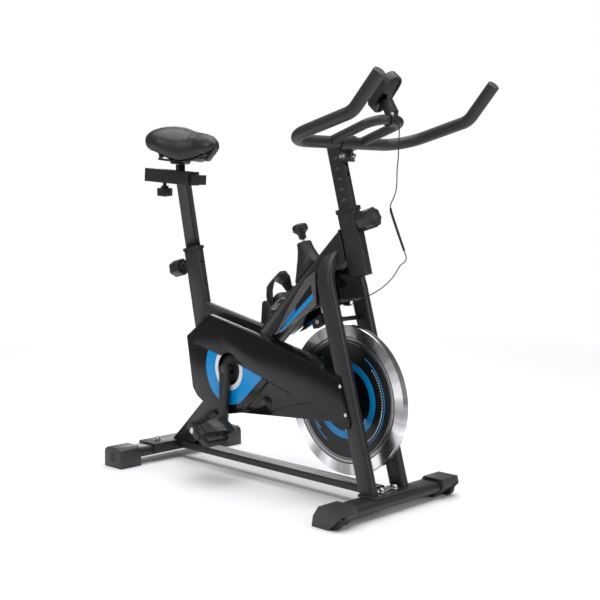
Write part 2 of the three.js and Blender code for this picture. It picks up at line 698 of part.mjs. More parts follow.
const TRIM_OUTLINE = [
  [37, 423.5], [65, 434.7], [200, 517.5], [195, 608.2], [159.7, 584.5], [136.2, 555.9],
  [97.4, 506.8], [67.1, 460.3], [52, 437],
];
onBothSides('trim_panel', slab(TRIM_OUTLINE, -52, -SHROUD_HALF - GAP), TRIM_GREY);

// ---------------------------------------------------------------- brake and resistance
const ROD_END = 239.5; // distance of the rod's tip from the flywheel's axle
const KNOB_TOP = 491;
const BRAKE_PIVOT = [258, 483];

function brakeCowl() {
  const bore = BRAKE_ROD_R + 4;
  const profile = [
    [bore, 290], [58, 290], [56, 345], [42, 372], [30, 398], [23, 420], [20, 440], [bore, 440],
    [bore, 290],
  ];
  const volcano = turned(profile, onPlane(FLYWHEEL), BRAKE_UP, 28);
  const belowBeamTop = new THREE.BoxGeometry(400, 200, 900);
  const offset = BEAM_DEPTH / 2 + GAP - 200;
  const normal = vec(-Math.sin(rad(BEAM_ANGLE)), 0, Math.cos(rad(BEAM_ANGLE)));
  const centre = onPlane(BEAM_POINT).addScaledVector(normal, offset);
  const under = solid(placed(belowBeamTop, centre, BEAM_ALONG));
  const sides = [box(-100, 400, 20, 90, 300, 800), box(-100, 400, -90, -20, 300, 800)];
  return cut(volcano, under, ...sides);
}
part('brake_cowl', brakeCowl(), PLASTIC);

function brakeRod() {
  const profile = [[0, ROD_END], [BRAKE_ROD_R, ROD_END], [BRAKE_ROD_R, 462], [0, 462]];
  return turned(profile, onPlane(FLYWHEEL), BRAKE_UP, 16);
}
part('brake_rod', brakeRod(), STEEL);

// The knob screws on the rod: turning it sets the resistance, pressing it brakes.
function brakeKnob() {
  const bore = BRAKE_ROD_R + GAP;
  const profile = [
    [bore, 451], [10, 451], [11, 464], [16, 470], [21.5, 474], [21.5, 486], [18, KNOB_TOP],
    [0, KNOB_TOP], [0, 463], [bore, 463], [bore, 451],
  ];
  return turned(profile, onPlane(FLYWHEEL), BRAKE_UP, 28);
}
part('brake_knob', brakeKnob(), PLASTIC);

function brakeArm() {
  const outline = [
    [144.5, 465.3], [176.9, 485.9], [182, 484.6], [258, 479], [258, 487], [182, 489],
    [174.6, 489.4], [142.2, 468.8],
  ];
  const pivot = disc(BRAKE_PIVOT, 6, -48, 48, 16);
  return join(slab(outline, -10, 10), pivot);
}
part('brake_arm', brakeArm(), PLASTIC);

const PAD_OUTLINE = [[144.7, 464.9], [150.9, 447.4], [183.3, 464.7], [177.1, 485.5]];
part('brake_pad', slab(PAD_OUTLINE, -12, 12), FELT);

// ---------------------------------------------------------------- knobs
// A hand knob with rounded lobes; its screw runs from `tip` to the body along `axis`.
function lobedKnob(origin, axis, tip, from, to, radius, lobes) {
  const shape = new THREE.Shape();
  const steps = lobes * 4;
  for (let k = 0; k < steps; k += 1) {
    const turn = (k * 2 * Math.PI) / steps;
    const r = radius - 1.6 * (1 - Math.cos(lobes * turn));
    if (k === 0) {
      shape.moveTo(r, 0);
    } else {
      shape.lineTo(r * Math.cos(turn), r * Math.sin(turn));
    }
  }
  shape.closePath();
  const body = extruded(shape, to - from, 1);
  body.translate(0, 0, from);
  const screw = new THREE.CylinderGeometry(PIN_R, PIN_R, from + 2 - tip, 16);
  screw.rotateX(Math.PI / 2);
  screw.translate(0, 0, (from + 2 + tip) / 2);
  const collar = new THREE.CylinderGeometry(12, 12, 8, 20);
  collar.rotateX(Math.PI / 2);
  collar.translate(0, 0, from - 3);
  const pieces = [body, screw, collar].map((piece) => solid(placed(piece, origin, axis)));
  return join(...pieces);
}

const POST_FACE = POST_SIZE[0] / 2 + GAP;
const barKnobAxis = HEAD_FORWARD.clone();
part('bar_knob', lobedKnob(onHead(-35), barKnobAxis, POST_FACE, 40, 84, 27, 8), PLASTIC);
const seatKnobAxis = SEAT_FORWARD.clone().negate();
part('seat_knob', lobedKnob(onSeat(-41), seatKnobAxis, POST_FACE, 58, 100, 26, 6), PLASTIC);

// ---------------------------------------------------------------- posts
// A plastic guide on top of a sleeve tube, with the post running through it.
function guideCollar(base, direction, height) {
  const outer = roundRect(SLEEVE_TUBE[0] + 6, SLEEVE_TUBE[1] + 6, 8);
  const inner = roundRect(POST_SIZE[0] + 2 * GAP, POST_SIZE[1] + 2 * GAP, 4 + GAP);
  const top = base.clone().addScaledVector(direction, height);
  return solid(bar(base, top, hollow(outer, inner), 3));
}
part('seat_collar', guideCollar(onSeat(GAP), SEAT_UP, 9), PLASTIC);
part('bar_collar', guideCollar(onHead(GAP), HEAD_UP, 10), PLASTIC);

// The saddle slider runs in a channel welded across the seat post.
const SLIDER_FORWARD = vec(Math.cos(rad(SLIDER_TILT)), 0, -Math.sin(rad(SLIDER_TILT)));
const SLIDER_UP = vec(Math.sin(rad(SLIDER_TILT)), 0, Math.cos(rad(SLIDER_TILT)));
const CHANNEL_FRONT = vec(-361, 0, 856.8);
const CHANNEL_LENGTH = 210;
const CHANNEL_SIZE = [44, 41];
const SLIDER_SIZE = [30, 29];
const SLIDER_DROP = 1.5; // the slider sits this far under the channel's middle
const STUB = [-421.5, 900.5]; // saddle stub: its axis and its top
const STUB_R = 14.3;
const SLIDER_KNOB_X = -499;

function onSlider(along, up, y = 0) {
  const at = CHANNEL_FRONT.clone().setY(y);
  return at.addScaledVector(SLIDER_FORWARD, along).addScaledVector(SLIDER_UP, up);
}

// A block in the slider's own directions.
function sliderBlock(along, halfWidth, up) {
  const from = onSlider(along[0], (up[0] + up[1]) / 2);
  const to = onSlider(along[1], (up[0] + up[1]) / 2);
  return boxBar(from, to, up[1] - up[0], 2 * halfWidth, 1.5);
}

function seatPost() {
  const post = boxTube(onSeat(-170), onSeat(212), ...POST_SIZE, 4);
  const halfTall = CHANNEL_SIZE[1] / 2;
  const halfWide = CHANNEL_SIZE[0] / 2;
  const channel = sliderBlock([-CHANNEL_LENGTH, 0], halfWide, [-halfTall, halfTall]);
  const low = -SLIDER_DROP - SLIDER_SIZE[1] / 2 - 2 * GAP;
  const high = -SLIDER_DROP + SLIDER_SIZE[1] / 2 + 2 * GAP;
  const run = sliderBlock([-CHANNEL_LENGTH - 5, 5], SLIDER_SIZE[0] / 2 + 2 * GAP, [low, high]);
  const slot = sliderBlock([-138, -18], STUB_R + 1.5, [high - 2, halfTall + 5]);
  const above = sliderBlock([-CHANNEL_LENGTH - 5, 5], 40, [halfTall, halfTall + 40]);
  const knobHole = rod(vec(SLIDER_KNOB_X, 0, 820), vec(SLIDER_KNOB_X, 0, 860), PIN_R + GAP, 16);
  return cut(join(channel, post), run, slot, above, knobHole);
}
part('seat_post', seatPost(), FRAME_BLACK);

function sliderTube() {
  const middle = -SLIDER_DROP;
  const half = SLIDER_SIZE[1] / 2;
  const tube = sliderBlock([-165, 42], SLIDER_SIZE[0] / 2, [middle - half, middle + half]);
  return join(tube, rod(vec(STUB[0], 0, 862), vec(STUB[0], 0, STUB[1]), STUB_R, 20));
}
part('slider_tube', sliderTube(), FRAME_BLACK);

function sliderKnob() {
  const origin = vec(SLIDER_KNOB_X, 0, 850);
  return lobedKnob(origin, vec(0, 0, -1), 0, 20, 44, 24, 6);
}
part('slider_knob', sliderKnob(), PLASTIC);

// ---------------------------------------------------------------- saddle
const CLAMP_Z = 914;
const CLAMP_R = 13;
const RAIL_R = 3.5;
const RAIL_Y = 22;
const PAN_BOTTOM = 922;
const PAN_TOP = 930;

function saddleClamp() {
  const body = disc([STUB[0], CLAMP_Z], CLAMP_R, -31, 31, 24);
  const grooves = [-RAIL_Y, RAIL_Y].map((y) => (
    rod(vec(-460, y, CLAMP_Z), vec(-380, y, CLAMP_Z), RAIL_R + GAP, 12)
  ));
  return cut(body, ...grooves);
}
part('saddle_clamp', saddleClamp(), STEEL);

function saddleRails() {
  const end = PAN_BOTTOM - GAP - RAIL_R;
  const half = [[-486, -33, end], [-456, -RAIL_Y, CLAMP_Z], [-370, -RAIL_Y, CLAMP_Z], [-292, -8, end]];
  const other = half.map(([x, y, z]) => [x, -y, z]).reverse();
  const corners = [...half, ...other].map(([x, y, z]) => vec(x, y, z));
  return bentRod(corners, [20, 30, 6, 6, 30, 20], RAIL_R, 3, 4);
}
part('saddle_rails', saddleRails(), FRAME_BLACK);

// Half widths of the saddle from the nose to the tail.
const SADDLE_PLAN = [
  [-246, 0], [-250, 13], [-275, 22], [-310, 27], [-350, 39], [-390, 66], [-430, 89], [-465, 92],
  [-492, 80], [-504, 50], [-505, 0],
];
const SADDLE_SIDE = [
  [-505, 960], [-500, 992], [-480, 1011], [-450, 1018], [-410, 1014], [-360, 999], [-310, 991],
  [-276, 987], [-254, 978], [-246, 960], [-249, 935], [-268, 912], [-330, 914], [-400, 909],
  [-470, 906], [-499, 920],
];

// The saddle seen from above, `margin` inside its edge, between two heights.
function saddlePrism(margin, low, high) {
  const middle = SADDLE_CENTRE;
  const edge = SADDLE_PLAN.map(([x, y]) => {
    const pull = Math.sign(middle - x) * margin * Math.min(1, Math.abs(middle - x) / 60);
    return new THREE.Vector2(x + pull, Math.max(0, y - (y > 0 ? margin : 0)));
  });
  const inner = edge.slice(1, -1);
  const mirrored = inner.map((p) => new THREE.Vector2(p.x, -p.y)).reverse();
  const shape = new THREE.Shape();
  shape.moveTo(edge[0].x, 0);
  shape.splineThru([...inner, edge[edge.length - 1], ...mirrored, edge[0].clone()]);
  const geometry = extruded(shape, high - low, 2);
  geometry.translate(0, 0, low);
  return solid(geometry);
}

const clampRoom = disc([STUB[0], CLAMP_Z], CLAMP_R + GAP, -32, 32, 24);
part('saddle_base', cut(saddlePrism(8, PAN_BOTTOM, PAN_TOP), clampRoom), PLASTIC);

function saddleCushion() {
  const side = slab([...SADDLE_SIDE].reverse(), -100, 100);
  const body = saddlePrism(0, 880, 1040).intersect(side);
  return body.subtract(saddlePrism(7, 880, PAN_TOP + GAP));
}
part('saddle_cushion', saddleCushion(), VINYL);

// ---------------------------------------------------------------- handlebar
const BAR_CLAMP_R = 20;

function barPost() {
  const post = boxTube(onHead(-150), onHead(184.7), ...POST_SIZE, 4);
  const holes = [95, 121, 147].map((up) => rod(onHead(up), onHead(up, 60), 4, 12));
  return cut(post, disc(BAR_CROSS, BAR_CLAMP_R + GAP, -60, 60, 32), ...holes);
}
part('bar_post', barPost(), FRAME_BLACK);

function handlebar() {
  const grip = [559.6, BAR_HALF - 3, 1082.8];
  const elbow = [480.8, BAR_HALF, 997.6];
  const corner = [BAR_CROSS[0], BAR_HALF, BAR_CROSS[1]];
  const left = [grip, elbow, corner].map(([x, y, z]) => vec(x, y, z));
  const right = left.map((p) => vec(p.x, -p.y, p.z)).reverse();
  const path = new BentLine([...left, ...right], [60, 80, 80, 60], 4);
  const loopBack = [246, LOOP_HALF, 940.5];
  const loopFront = [LOOP_FRONT[0], LOOP_HALF, LOOP_FRONT[1]];
  const loopLeft = [loopBack, loopFront].map(([x, y, z]) => vec(x, y, z));
  const loopRight = loopLeft.map((p) => vec(p.x, -p.y, p.z)).reverse();
  const loop = new BentLine([...loopLeft, ...loopRight], [43, 43], 4);
  const outer = join(swept(circle(BAR_R), path, 6), swept(circle(LOOP_R), loop, 6));
  return cut(outer, swept(circle(BAR_R - WALL), path, 4), swept(circle(LOOP_R - WALL), loop, 4));
}
part('handlebar', handlebar(), BAR_BLACK);

// A split band over the cross tube, bolted to the front of the post.
function barClamp() {
  const band = disc(BAR_CROSS, BAR_CLAMP_R, -30, 30, 24);
  const plateLow = onHead(128, POST_FACE + 3);
  const plateHigh = onHead(168, POST_FACE + 3);
  const plate = boxBar(plateLow, plateHigh, 6, 60, 1.5);
  const bolts = [-20.5, 20.5].map((y) => (
    rod(onHead(141, POST_FACE + 3, y), onHead(141, POST_FACE + 12, y), 6.5, 12)
  ));
  return cut(join(band, plate, ...bolts), disc(BAR_CROSS, BAR_R + GAP, -60, 60, 24));
}
part('bar_clamp', barClamp(), FRAME_BLACK);

// ---------------------------------------------------------------- console
const CONSOLE_CENTRE = vec(387, 0, 1063);
const CONSOLE_TILT = 50; // long axis above the horizontal
const CONSOLE_SIZE = [110, 54, 24];
const CONSOLE_LONG = vec(Math.cos(rad(CONSOLE_TILT)), 0, Math.sin(rad(CONSOLE_TILT)));
const CONSOLE_FACE = vec(-Math.sin(rad(CONSOLE_TILT)), 0, Math.cos(rad(CONSOLE_TILT)));

const onConsole = (along, out, y = 0) => CONSOLE_CENTRE.clone().setY(y)
  .addScaledVector(CONSOLE_LONG, along).addScaledVector(CONSOLE_FACE, out);

const BUTTON_ALONG = -38;
const BUTTON_R = 7;

function consoleBody() {
  const half = CONSOLE_SIZE[2] / 2;
  const body = bar(onConsole(0, -half), onConsole(0, half), stadium(), 6);
  const wellEnds = [half - 5, half + 5].map((out) => onConsole(BUTTON_ALONG, out));
  const well = rod(...wellEnds, BUTTON_R + GAP, 20);
  return cut(solid(body), well);
}

function stadium() {
  return roundRect(CONSOLE_SIZE[0], CONSOLE_SIZE[1], CONSOLE_SIZE[1] / 2 - 0.1);
}
part('console', consoleBody(), PLASTIC);

function consoleButton() {
  const half = CONSOLE_SIZE[2] / 2;
  return rod(onConsole(BUTTON_ALONG, half - 3.5), onConsole(BUTTON_ALONG, half + 1.5), BUTTON_R, 20);
}
part('console_button', consoleButton(), BUTTON_RED);

// A ring clamped round the front of the loop, with a block that carries the console.
function consoleClamp() {
  const ring = disc(LOOP_FRONT, LOOP_R + 5, -13, 13, 24);
  const block = slab([[398, 1003], [420, 1000], [424, 1014], [404, 1046], [383, 1040]], -11, 11);
  const half = CONSOLE_SIZE[2] / 2;
  const room = solid(bar(onConsole(0, -half - GAP), onConsole(0, half), stadium(), 6));
  return cut(join(ring, block), room, disc(LOOP_FRONT, LOOP_R + GAP, -60, 60, 24));
}
part('console_clamp', consoleClamp(), PLASTIC);

// The sensor lead hangs from the console's clamp and runs back under the head tube.
const CABLE_R = 1.4;
const CABLE_ROUTE = [
  [426, 0, 990], [431, 0, 984], [434.5, 0, 972], [435, 0, 958], [433.5, 0, 938], [432.4, 0, 898],
  [429, 0, 866], [428.6, 0, 838], [426, 0, 818], [419, 0, 800], [409.5, 0, 784], [408.5, 0, 770],
  [430, 0, 721], [455, 0, 666], [460.5, 0, 653], [458, 0, 643], [451, 0, 637.5], [442, 0, 631],
  [418, 0, 600.4], [388, 0, 575.5], [349.6, 0, 554], [318, 0, 541], [290, 2, 529],
  [268, 10, 520], [246, 22, 516], [232, 30, 517], [225, 34, 519],
];

function consoleCable() {
  const path = new THREE.CatmullRomCurve3(CABLE_ROUTE.map(([x, y, z]) => vec(x, y, z)));
  const settings = { steps: 64, extrudePath: path, bevelEnabled: false, curveSegments: 4 };
  const ring = new THREE.Shape();
  for (let k = 0; k < 8; k += 1) {
    const turn = (k * Math.PI) / 4;
    const point = [CABLE_R * Math.cos(turn), CABLE_R * Math.sin(turn)];
    if (k === 0) {
      ring.moveTo(...point);
    } else {
      ring.lineTo(...point);
    }
  }
  ring.closePath();
  return solid(new THREE.ExtrudeGeometry(ring, settings));
}
part('console_cable', consoleCable(), RUBBER);

// ---------------------------------------------------------------- pedals
const PEDAL_SIZE = [98, 88, 16];
const PEDAL_Y = 136;
const plain = (width, height) => new THREE.Shape([
  [-width, -height], [width, -height], [width, height], [-width, height],
].map(([x, y]) => new THREE.Vector2(x / 2, y / 2)));

// Stands a piece made round the spindle in its place, nose tipped down by `tip` degrees.
function atPedal(geometry, sign, tip) {
  const [x, z] = pedalCentre(sign);
  geometry.rotateY(rad(tip));
  geometry.translate(x, sign * PEDAL_Y, z);
  return solid(geometry);
}

function pedalBody(sign, tip) {
  const [long, wide, thick] = PEDAL_SIZE;
  const geometry = extruded(roundRect(long, wide, 12), thick, 3);
  geometry.translate(0, 0, -thick / 2);
  const windows = [-28, 28].map((x) => {
    const window = new THREE.BoxGeometry(26, 60, thick + 10);
    window.translate(x, 0, 0);
    return atPedal(window, sign, tip);
  });
  const bore = disc(pedalCentre(sign), SPINDLE_R + GAP, -200, 200, 16);
  return cut(atPedal(geometry, sign, tip), bore, ...windows);
}

// A band over the instep and a cage round the toe, in one flexible moulding.
function pedalStrap(sign, tip) {
  const inner = 40.5;
  const arch = [[1, -inner, 0], [44, -inner, 72], [44, inner, 72], [1, inner, 0]];
  const archPath = new BentLine(arch.map((p) => vec(...p)), [26, 26], 5);
  const toe = [[40, 0, 71], [84, 0, 58], [92, 0, 8], [46, 0, -2]];
  const toePath = new BentLine(toe.map((p) => vec(...p)), [14, 12], 4);
  const band = sweptGeometry(plain(3, 26), archPath);
  const cage = sweptGeometry(plain(34, 3), toePath);
  const [long, wide, thick] = PEDAL_SIZE.map((size) => size + 2 * GAP);
  const tread = atPedal(new THREE.BoxGeometry(long, wide, thick), sign, tip);
  return cut(join(atPedal(band, sign, tip), atPedal(cage, sign, tip)), tread);
}

function sweptGeometry(section, path) {
  const settings = { steps: path.steps, extrudePath: path, bevelEnabled: false, curveSegments: 1 };
  return new THREE.ExtrudeGeometry(section, settings);
}

for (const [side, sign, tip] of [['right', -1, 30], ['left', 1, -40]]) {
  part(`pedal_body_${side}`, pedalBody(sign, tip), PLASTIC);
  part(`pedal_strap_${side}`, pedalStrap(sign, tip), PLASTIC);
}

export default group;
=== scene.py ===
import json
import math

import bmesh
import bpy
from mathutils import Matrix, Vector

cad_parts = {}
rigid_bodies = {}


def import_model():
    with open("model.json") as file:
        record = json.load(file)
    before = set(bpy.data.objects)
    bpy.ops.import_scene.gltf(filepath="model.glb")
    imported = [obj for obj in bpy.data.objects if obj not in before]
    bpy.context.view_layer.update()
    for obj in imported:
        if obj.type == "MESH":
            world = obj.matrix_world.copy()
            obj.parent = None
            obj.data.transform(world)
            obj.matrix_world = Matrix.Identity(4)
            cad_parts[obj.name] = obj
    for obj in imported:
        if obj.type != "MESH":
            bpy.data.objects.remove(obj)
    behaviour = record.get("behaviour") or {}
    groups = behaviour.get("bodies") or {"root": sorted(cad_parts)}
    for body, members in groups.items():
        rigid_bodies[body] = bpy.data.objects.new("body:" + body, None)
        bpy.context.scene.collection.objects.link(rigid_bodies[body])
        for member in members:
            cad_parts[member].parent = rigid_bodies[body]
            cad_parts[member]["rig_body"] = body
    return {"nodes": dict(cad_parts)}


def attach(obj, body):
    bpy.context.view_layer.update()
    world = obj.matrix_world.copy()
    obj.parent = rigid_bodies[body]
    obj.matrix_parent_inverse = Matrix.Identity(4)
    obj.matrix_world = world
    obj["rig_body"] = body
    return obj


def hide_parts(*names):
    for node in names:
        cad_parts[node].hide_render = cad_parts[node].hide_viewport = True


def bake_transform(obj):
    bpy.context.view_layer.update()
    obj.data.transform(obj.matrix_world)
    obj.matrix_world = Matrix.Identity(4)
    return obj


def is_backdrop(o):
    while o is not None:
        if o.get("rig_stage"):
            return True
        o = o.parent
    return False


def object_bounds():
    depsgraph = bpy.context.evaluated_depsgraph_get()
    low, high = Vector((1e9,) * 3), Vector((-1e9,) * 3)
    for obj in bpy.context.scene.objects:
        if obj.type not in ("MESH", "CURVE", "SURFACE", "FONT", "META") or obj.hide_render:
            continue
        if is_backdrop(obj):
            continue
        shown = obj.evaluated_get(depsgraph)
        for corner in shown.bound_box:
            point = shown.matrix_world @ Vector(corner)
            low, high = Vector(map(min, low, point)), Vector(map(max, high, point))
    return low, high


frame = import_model()
cad_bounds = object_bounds()


# ---------------------------------------------------------------- camera
# A long lens a little below the handlebar, off the bike's front right corner,
# looking down at it slightly.
def shown(name, data):
    """A new object in the scene."""
    made = bpy.data.objects.new(name, data)
    bpy.context.scene.collection.objects.link(made)
    return made


def look_along(azimuth, dip):
    turn = math.radians(azimuth)
    down = math.radians(dip)
    level = math.cos(down)
    return Vector((-math.sin(turn) * level, math.cos(turn) * level, -math.sin(down)))


camera_data = bpy.data.cameras.new("camera")
camera_data.lens = 65.03
camera_data.sensor_width = 36
camera_data.shift_y = -0.0032
camera_data.clip_end = 200
camera = shown("camera", camera_data)
camera.location = (2.167, -2.099, 0.8)
camera.rotation_euler = look_along(44.71, 5.29).to_track_quat("-Z", "Y").to_euler()
bpy.context.scene.camera = camera


# ---------------------------------------------------------------- console cable
# A thin lead in black rubber, moulded into the console's clamp at its upper end.
# It passes through a stiff sleeve and back under the head tube to the sensor in the shroud.
MM = 0.001
CABLE_ROUTE = [
    (426, 0, 990), (431, 0, 984), (434.5, 0, 972), (435, 0, 958), (433.5, 0, 938),
    (432.4, 0, 898), (429, 0, 866), (428.6, 0, 838), (426, 0, 818), (419, 0, 800),
    (409.5, 0, 784), (408.5, 0, 770), (430, 0, 721), (455, 0, 666), (460.5, 0, 653),
    (458, 0, 643), (451, 0, 637.5), (442, 0, 631), (418, 0, 600.4), (388, 0, 575.5),
    (349.6, 0, 554), (318, 0, 541), (290, 2, 529), (268, 10, 520), (246, 22, 516),
    (232, 30, 517), (225, 34, 519),
]
CABLE_DIAMETER = 2.8


# Every finish is a principled surface whose colour, gloss and relief vary with place,
# written as arithmetic on values that stand for shader sockets.
class Value:
    def __init__(self, finish, socket):
        self.finish = finish
        self.socket = socket

    def math(self, operation, *others):
        return self.finish.node("ShaderNodeMath", {"operation": operation}, [self, *others])

    def __add__(self, other):
        return self.math("ADD", other)

    def __sub__(self, other):
        return self.math("SUBTRACT", other)

    def __mul__(self, other):
        return self.math("MULTIPLY", other)

    def __truediv__(self, other):
        return self.math("DIVIDE", other)

    def __gt__(self, other):
        return self.math("GREATER_THAN", other)

    def __lt__(self, other):
        return self.math("LESS_THAN", other)

    def __rsub__(self, other):
        return self.finish.node("ShaderNodeMath", {"operation": "SUBTRACT"}, [other, self])

    __radd__ = __add__

    def ramp(self, low, high, start=0.0, end=1.0):
        settings = {"interpolation_type": "SMOOTHSTEP"}
        return self.finish.node("ShaderNodeMapRange", settings, [self, low, high, start, end])


class Finish:
    def __init__(self, name, slot, **sockets):
        self.slot = slot
        self.material = bpy.data.materials.new(name)
        self.material.use_nodes = True
        self.tree = self.material.node_tree
        self.shader = self.tree.nodes["Principled BSDF"]
        for socket, value in sockets.items():
            self.shader.inputs[socket.replace("_", " ")].default_value = value

    def node(self, kind, settings=None, inputs=(), output=0):
        made = self.tree.nodes.new(kind)
        for key, value in (settings or {}).items():
            setattr(made, key, value)
        pairs = inputs.items() if isinstance(inputs, dict) else enumerate(inputs)
        for key, value in pairs:
            if isinstance(value, Value):
                self.tree.links.new(value.socket, made.inputs[key])
            else:
                made.inputs[key].default_value = value
        return Value(self, made.outputs[output])

    def place(self):
        return self.node("ShaderNodeTexCoord", output=3)

    def axes(self):
        made = self.tree.nodes.new("ShaderNodeSeparateXYZ")
        self.tree.links.new(self.place().socket, made.inputs[0])
        return [Value(self, made.outputs[i]) for i in range(3)]

    def noise(self, scale, detail=2.0, stretch=(1, 1, 1)):
        where = self.node("ShaderNodeMapping", inputs={0: self.place(), 3: stretch})
        return self.node("ShaderNodeTexNoise", inputs={0: where, "Scale": scale, "Detail": detail})

    def blend(self, mask, below, above):
        inputs = {0: mask, 6: below, 7: above}
        return self.node("ShaderNodeMix", {"data_type": "RGBA"}, inputs, output=2)

    def feed(self, socket, value):
        self.tree.links.new(value.socket, self.shader.inputs[socket])

    def relief(self, height, depth):
        inputs = {"Strength": 1.0, "Distance": depth, "Height": height}
        self.feed("Normal", self.node("ShaderNodeBump", inputs=inputs))


def grey(level):
    return (level, level, level * 1.02, 1.0)


def coated(name, slot, level, rough, grain, depth, **sockets):
    """A dyed or painted surface with a fine grain and a slow drift of shade and gloss."""
    finish = Finish(name, slot, **sockets)
    drift = finish.noise(9.0, 3.0)
    fine = finish.noise(grain, 3.0)
    spread = 0.12
    low = grey(level * (1 - spread))
    high = grey(level * (1 + spread))
    finish.feed("Base Color", finish.blend(drift, low, high))
    finish.feed("Roughness", (drift - 0.5) * 0.12 + rough + (fine - 0.5) * 0.06)
    finish.relief(fine, depth)
    return finish


rubber = coated("rubber", "black_rubber", 0.010, 0.6, 500.0, 0.00005)


def from_bmesh(shape):
    """The finished shape, from millimetres to metres."""
    bmesh.ops.remove_doubles(shape, verts=shape.verts, dist=1e-5)
    bmesh.ops.recalc_face_normals(shape, faces=shape.faces)
    mesh = bpy.data.meshes.new("shape")
    shape.to_mesh(mesh)
    shape.free()
    mesh.transform(Matrix.Scale(MM, 4))
    return mesh


def lofted(rings, closed=False):
    """A skin through rings of points, capped at both ends or closed on itself."""
    shape = bmesh.new()
    loops = [[shape.verts.new(point) for point in ring] for ring in rings]
    if not closed:
        shape.faces.new(loops[0])
        shape.faces.new(loops[-1][::-1])
    for one, two in zip(loops, loops[1:] + loops[:1] if closed else loops[1:]):
        for k in range(len(one)):
            j = (k + 1) % len(one)
            shape.faces.new((one[k], one[j], two[j], two[k]))
    return from_bmesh(shape)


def tube(points, radius, sides=24):
    """A round bar along a line of points; radius is a number or one for each point."""
    points = [Vector(p) for p in points]
    radii = radius if isinstance(radius, (list, tuple)) else [radius] * len(points)
    rings = []
    side = None
    for i, point in enumerate(points):
        along = (points[min(i + 1, len(points) - 1)] - points[max(i - 1, 0)]).normalized()
        if side is None:
            side = along.orthogonal().normalized()
        side = (side - along * side.dot(along)).normalized()
        other = along.cross(side)
        turns = [2 * math.pi * k / sides for k in range(sides)]
        rings.append([point + (side * math.cos(a) + other * math.sin(a)) * radii[i] for a in turns])
    return lofted(rings)


def keep(mesh, name, body, finish, replaces=(), smooth=40.0):
    """A kept piece: it rides on a body and may stand for nodes of the frame."""
    mesh.name = name
    if not mesh.materials:
        mesh.materials.append(finish.material)
    mesh.polygons.foreach_set("use_smooth", [True] * len(mesh.polygons))
    mesh.set_sharp_from_angle(angle=math.radians(smooth))
    piece = shown(name, mesh)
    if body:
        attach(piece, body)
    if replaces:
        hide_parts(*replaces)
    return piece


def smooth_route(route, steps):
    """Points on a centripetal curve through the route."""
    points = [Vector(p) for p in route]
    points = [2 * points[0] - points[1], *points, 2 * points[-1] - points[-2]]
    made = []
    for p0, p1, p2, p3 in zip(points, points[1:], points[2:], points[3:]):
        t0 = 0.0
        t1 = t0 + (p1 - p0).length ** 0.5
        t2 = t1 + (p2 - p1).length ** 0.5
        t3 = t2 + (p3 - p2).length ** 0.5
        for k in range(steps):
            t = t1 + (t2 - t1) * k / steps
            a1 = p0.lerp(p1, (t - t0) / (t1 - t0))
            a2 = p1.lerp(p2, (t - t1) / (t2 - t1))
            a3 = p2.lerp(p3, (t - t2) / (t3 - t2))
            b1 = a1.lerp(a2, (t - t0) / (t2 - t0))
            b2 = a2.lerp(a3, (t - t1) / (t3 - t1))
            made.append(b1.lerp(b2, (t - t1) / (t2 - t1)))
    return made + [points[-2]]


lead = smooth_route(CABLE_ROUTE, 8)
lead_length = sum((b - a).length for a, b in zip(lead, lead[1:])) * MM
cable = keep(tube(lead, CABLE_DIAMETER / 2, 12), "sensor_lead", None, rubber, ["console_cable"])
sleeve_line = [(408.9, 0, 774), (411, 0, 764), (430, 0, 721), (454, 0, 668.5)]
sleeve = keep(tube(sleeve_line, [2.6, 3.3, 3.3, 3.0], 16), "lead_sleeve", None, rubber)
grommet_line = [(423.5, 0, 991), (431, 0, 984), (434, 0, 973)]
keep(tube(grommet_line, [3.6, 2.8, 1.7], 16), "lead_grommet", "bar", rubber)
lead[0] * MM
[p * MM for p in lead]
for piece in (cable, sleeve):
    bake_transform(piece)


# ---------------------------------------------------------------- floor and light
# A pale matt studio floor that fades out into a white backdrop. Four large soft lights
# stand over it, the strongest straight above, the others in front, at the side and behind.
def studio():
    floor_finish = Finish("studio_floor", "", Roughness=0.95)
    cloud = floor_finish.noise(3.0)
    floor_finish.feed("Base Color", floor_finish.blend(cloud, grey(0.92), grey(0.94)))
    x, y = floor_finish.axes()[:2]
    floor_finish.feed("Alpha", (x * x + y * y).math("SQRT").ramp(1.3, 3.6, 1.0, 0.0))
    mesh = bpy.data.meshes.new("studio_floor")
    angles = [math.radians(a) for a in range(0, 360, 6)]
    rim = [(4.2 * math.cos(a), 4.2 * math.sin(a), 0) for a in angles]
    mesh.from_pydata(rim, [], [list(range(len(rim)))])
    mesh.materials.append(floor_finish.material)
    shown("studio_floor", mesh)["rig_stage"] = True
    world = bpy.data.worlds.new("studio")
    world.use_nodes = True
    tree = world.node_tree
    seen = tree.nodes["Background"]
    seen.inputs[0].default_value = (1.0, 1.0, 1.0, 1)
    room = tree.nodes.new("ShaderNodeBackground")
    room.inputs[0].default_value = (1.0, 1.0, 1.0, 1)
    room.inputs[1].default_value = 0.22
    choice = tree.nodes.new("ShaderNodeMixShader")
    path = tree.nodes.new("ShaderNodeLightPath")
    tree.links.new(path.outputs["Is Camera Ray"], choice.inputs[0])
    tree.links.new(room.outputs[0], choice.inputs[1])
    tree.links.new(seen.outputs[0], choice.inputs[2])
    tree.links.new(choice.outputs[0], tree.nodes["World Output"].inputs[0])
    bpy.context.scene.world = world
    bpy.context.scene.view_settings.view_transform = "Standard"


def soft_light(name, place, power, size):
    data = bpy.data.lights.new(name, "AREA")
    data.energy = power
    data.size = size
    lamp = shown(name, data)
    lamp.location = place
    middle = Vector((0, 0, 0.55))
    lamp.rotation_euler = (middle - Vector(place)).to_track_quat("-Z", "Y").to_euler()


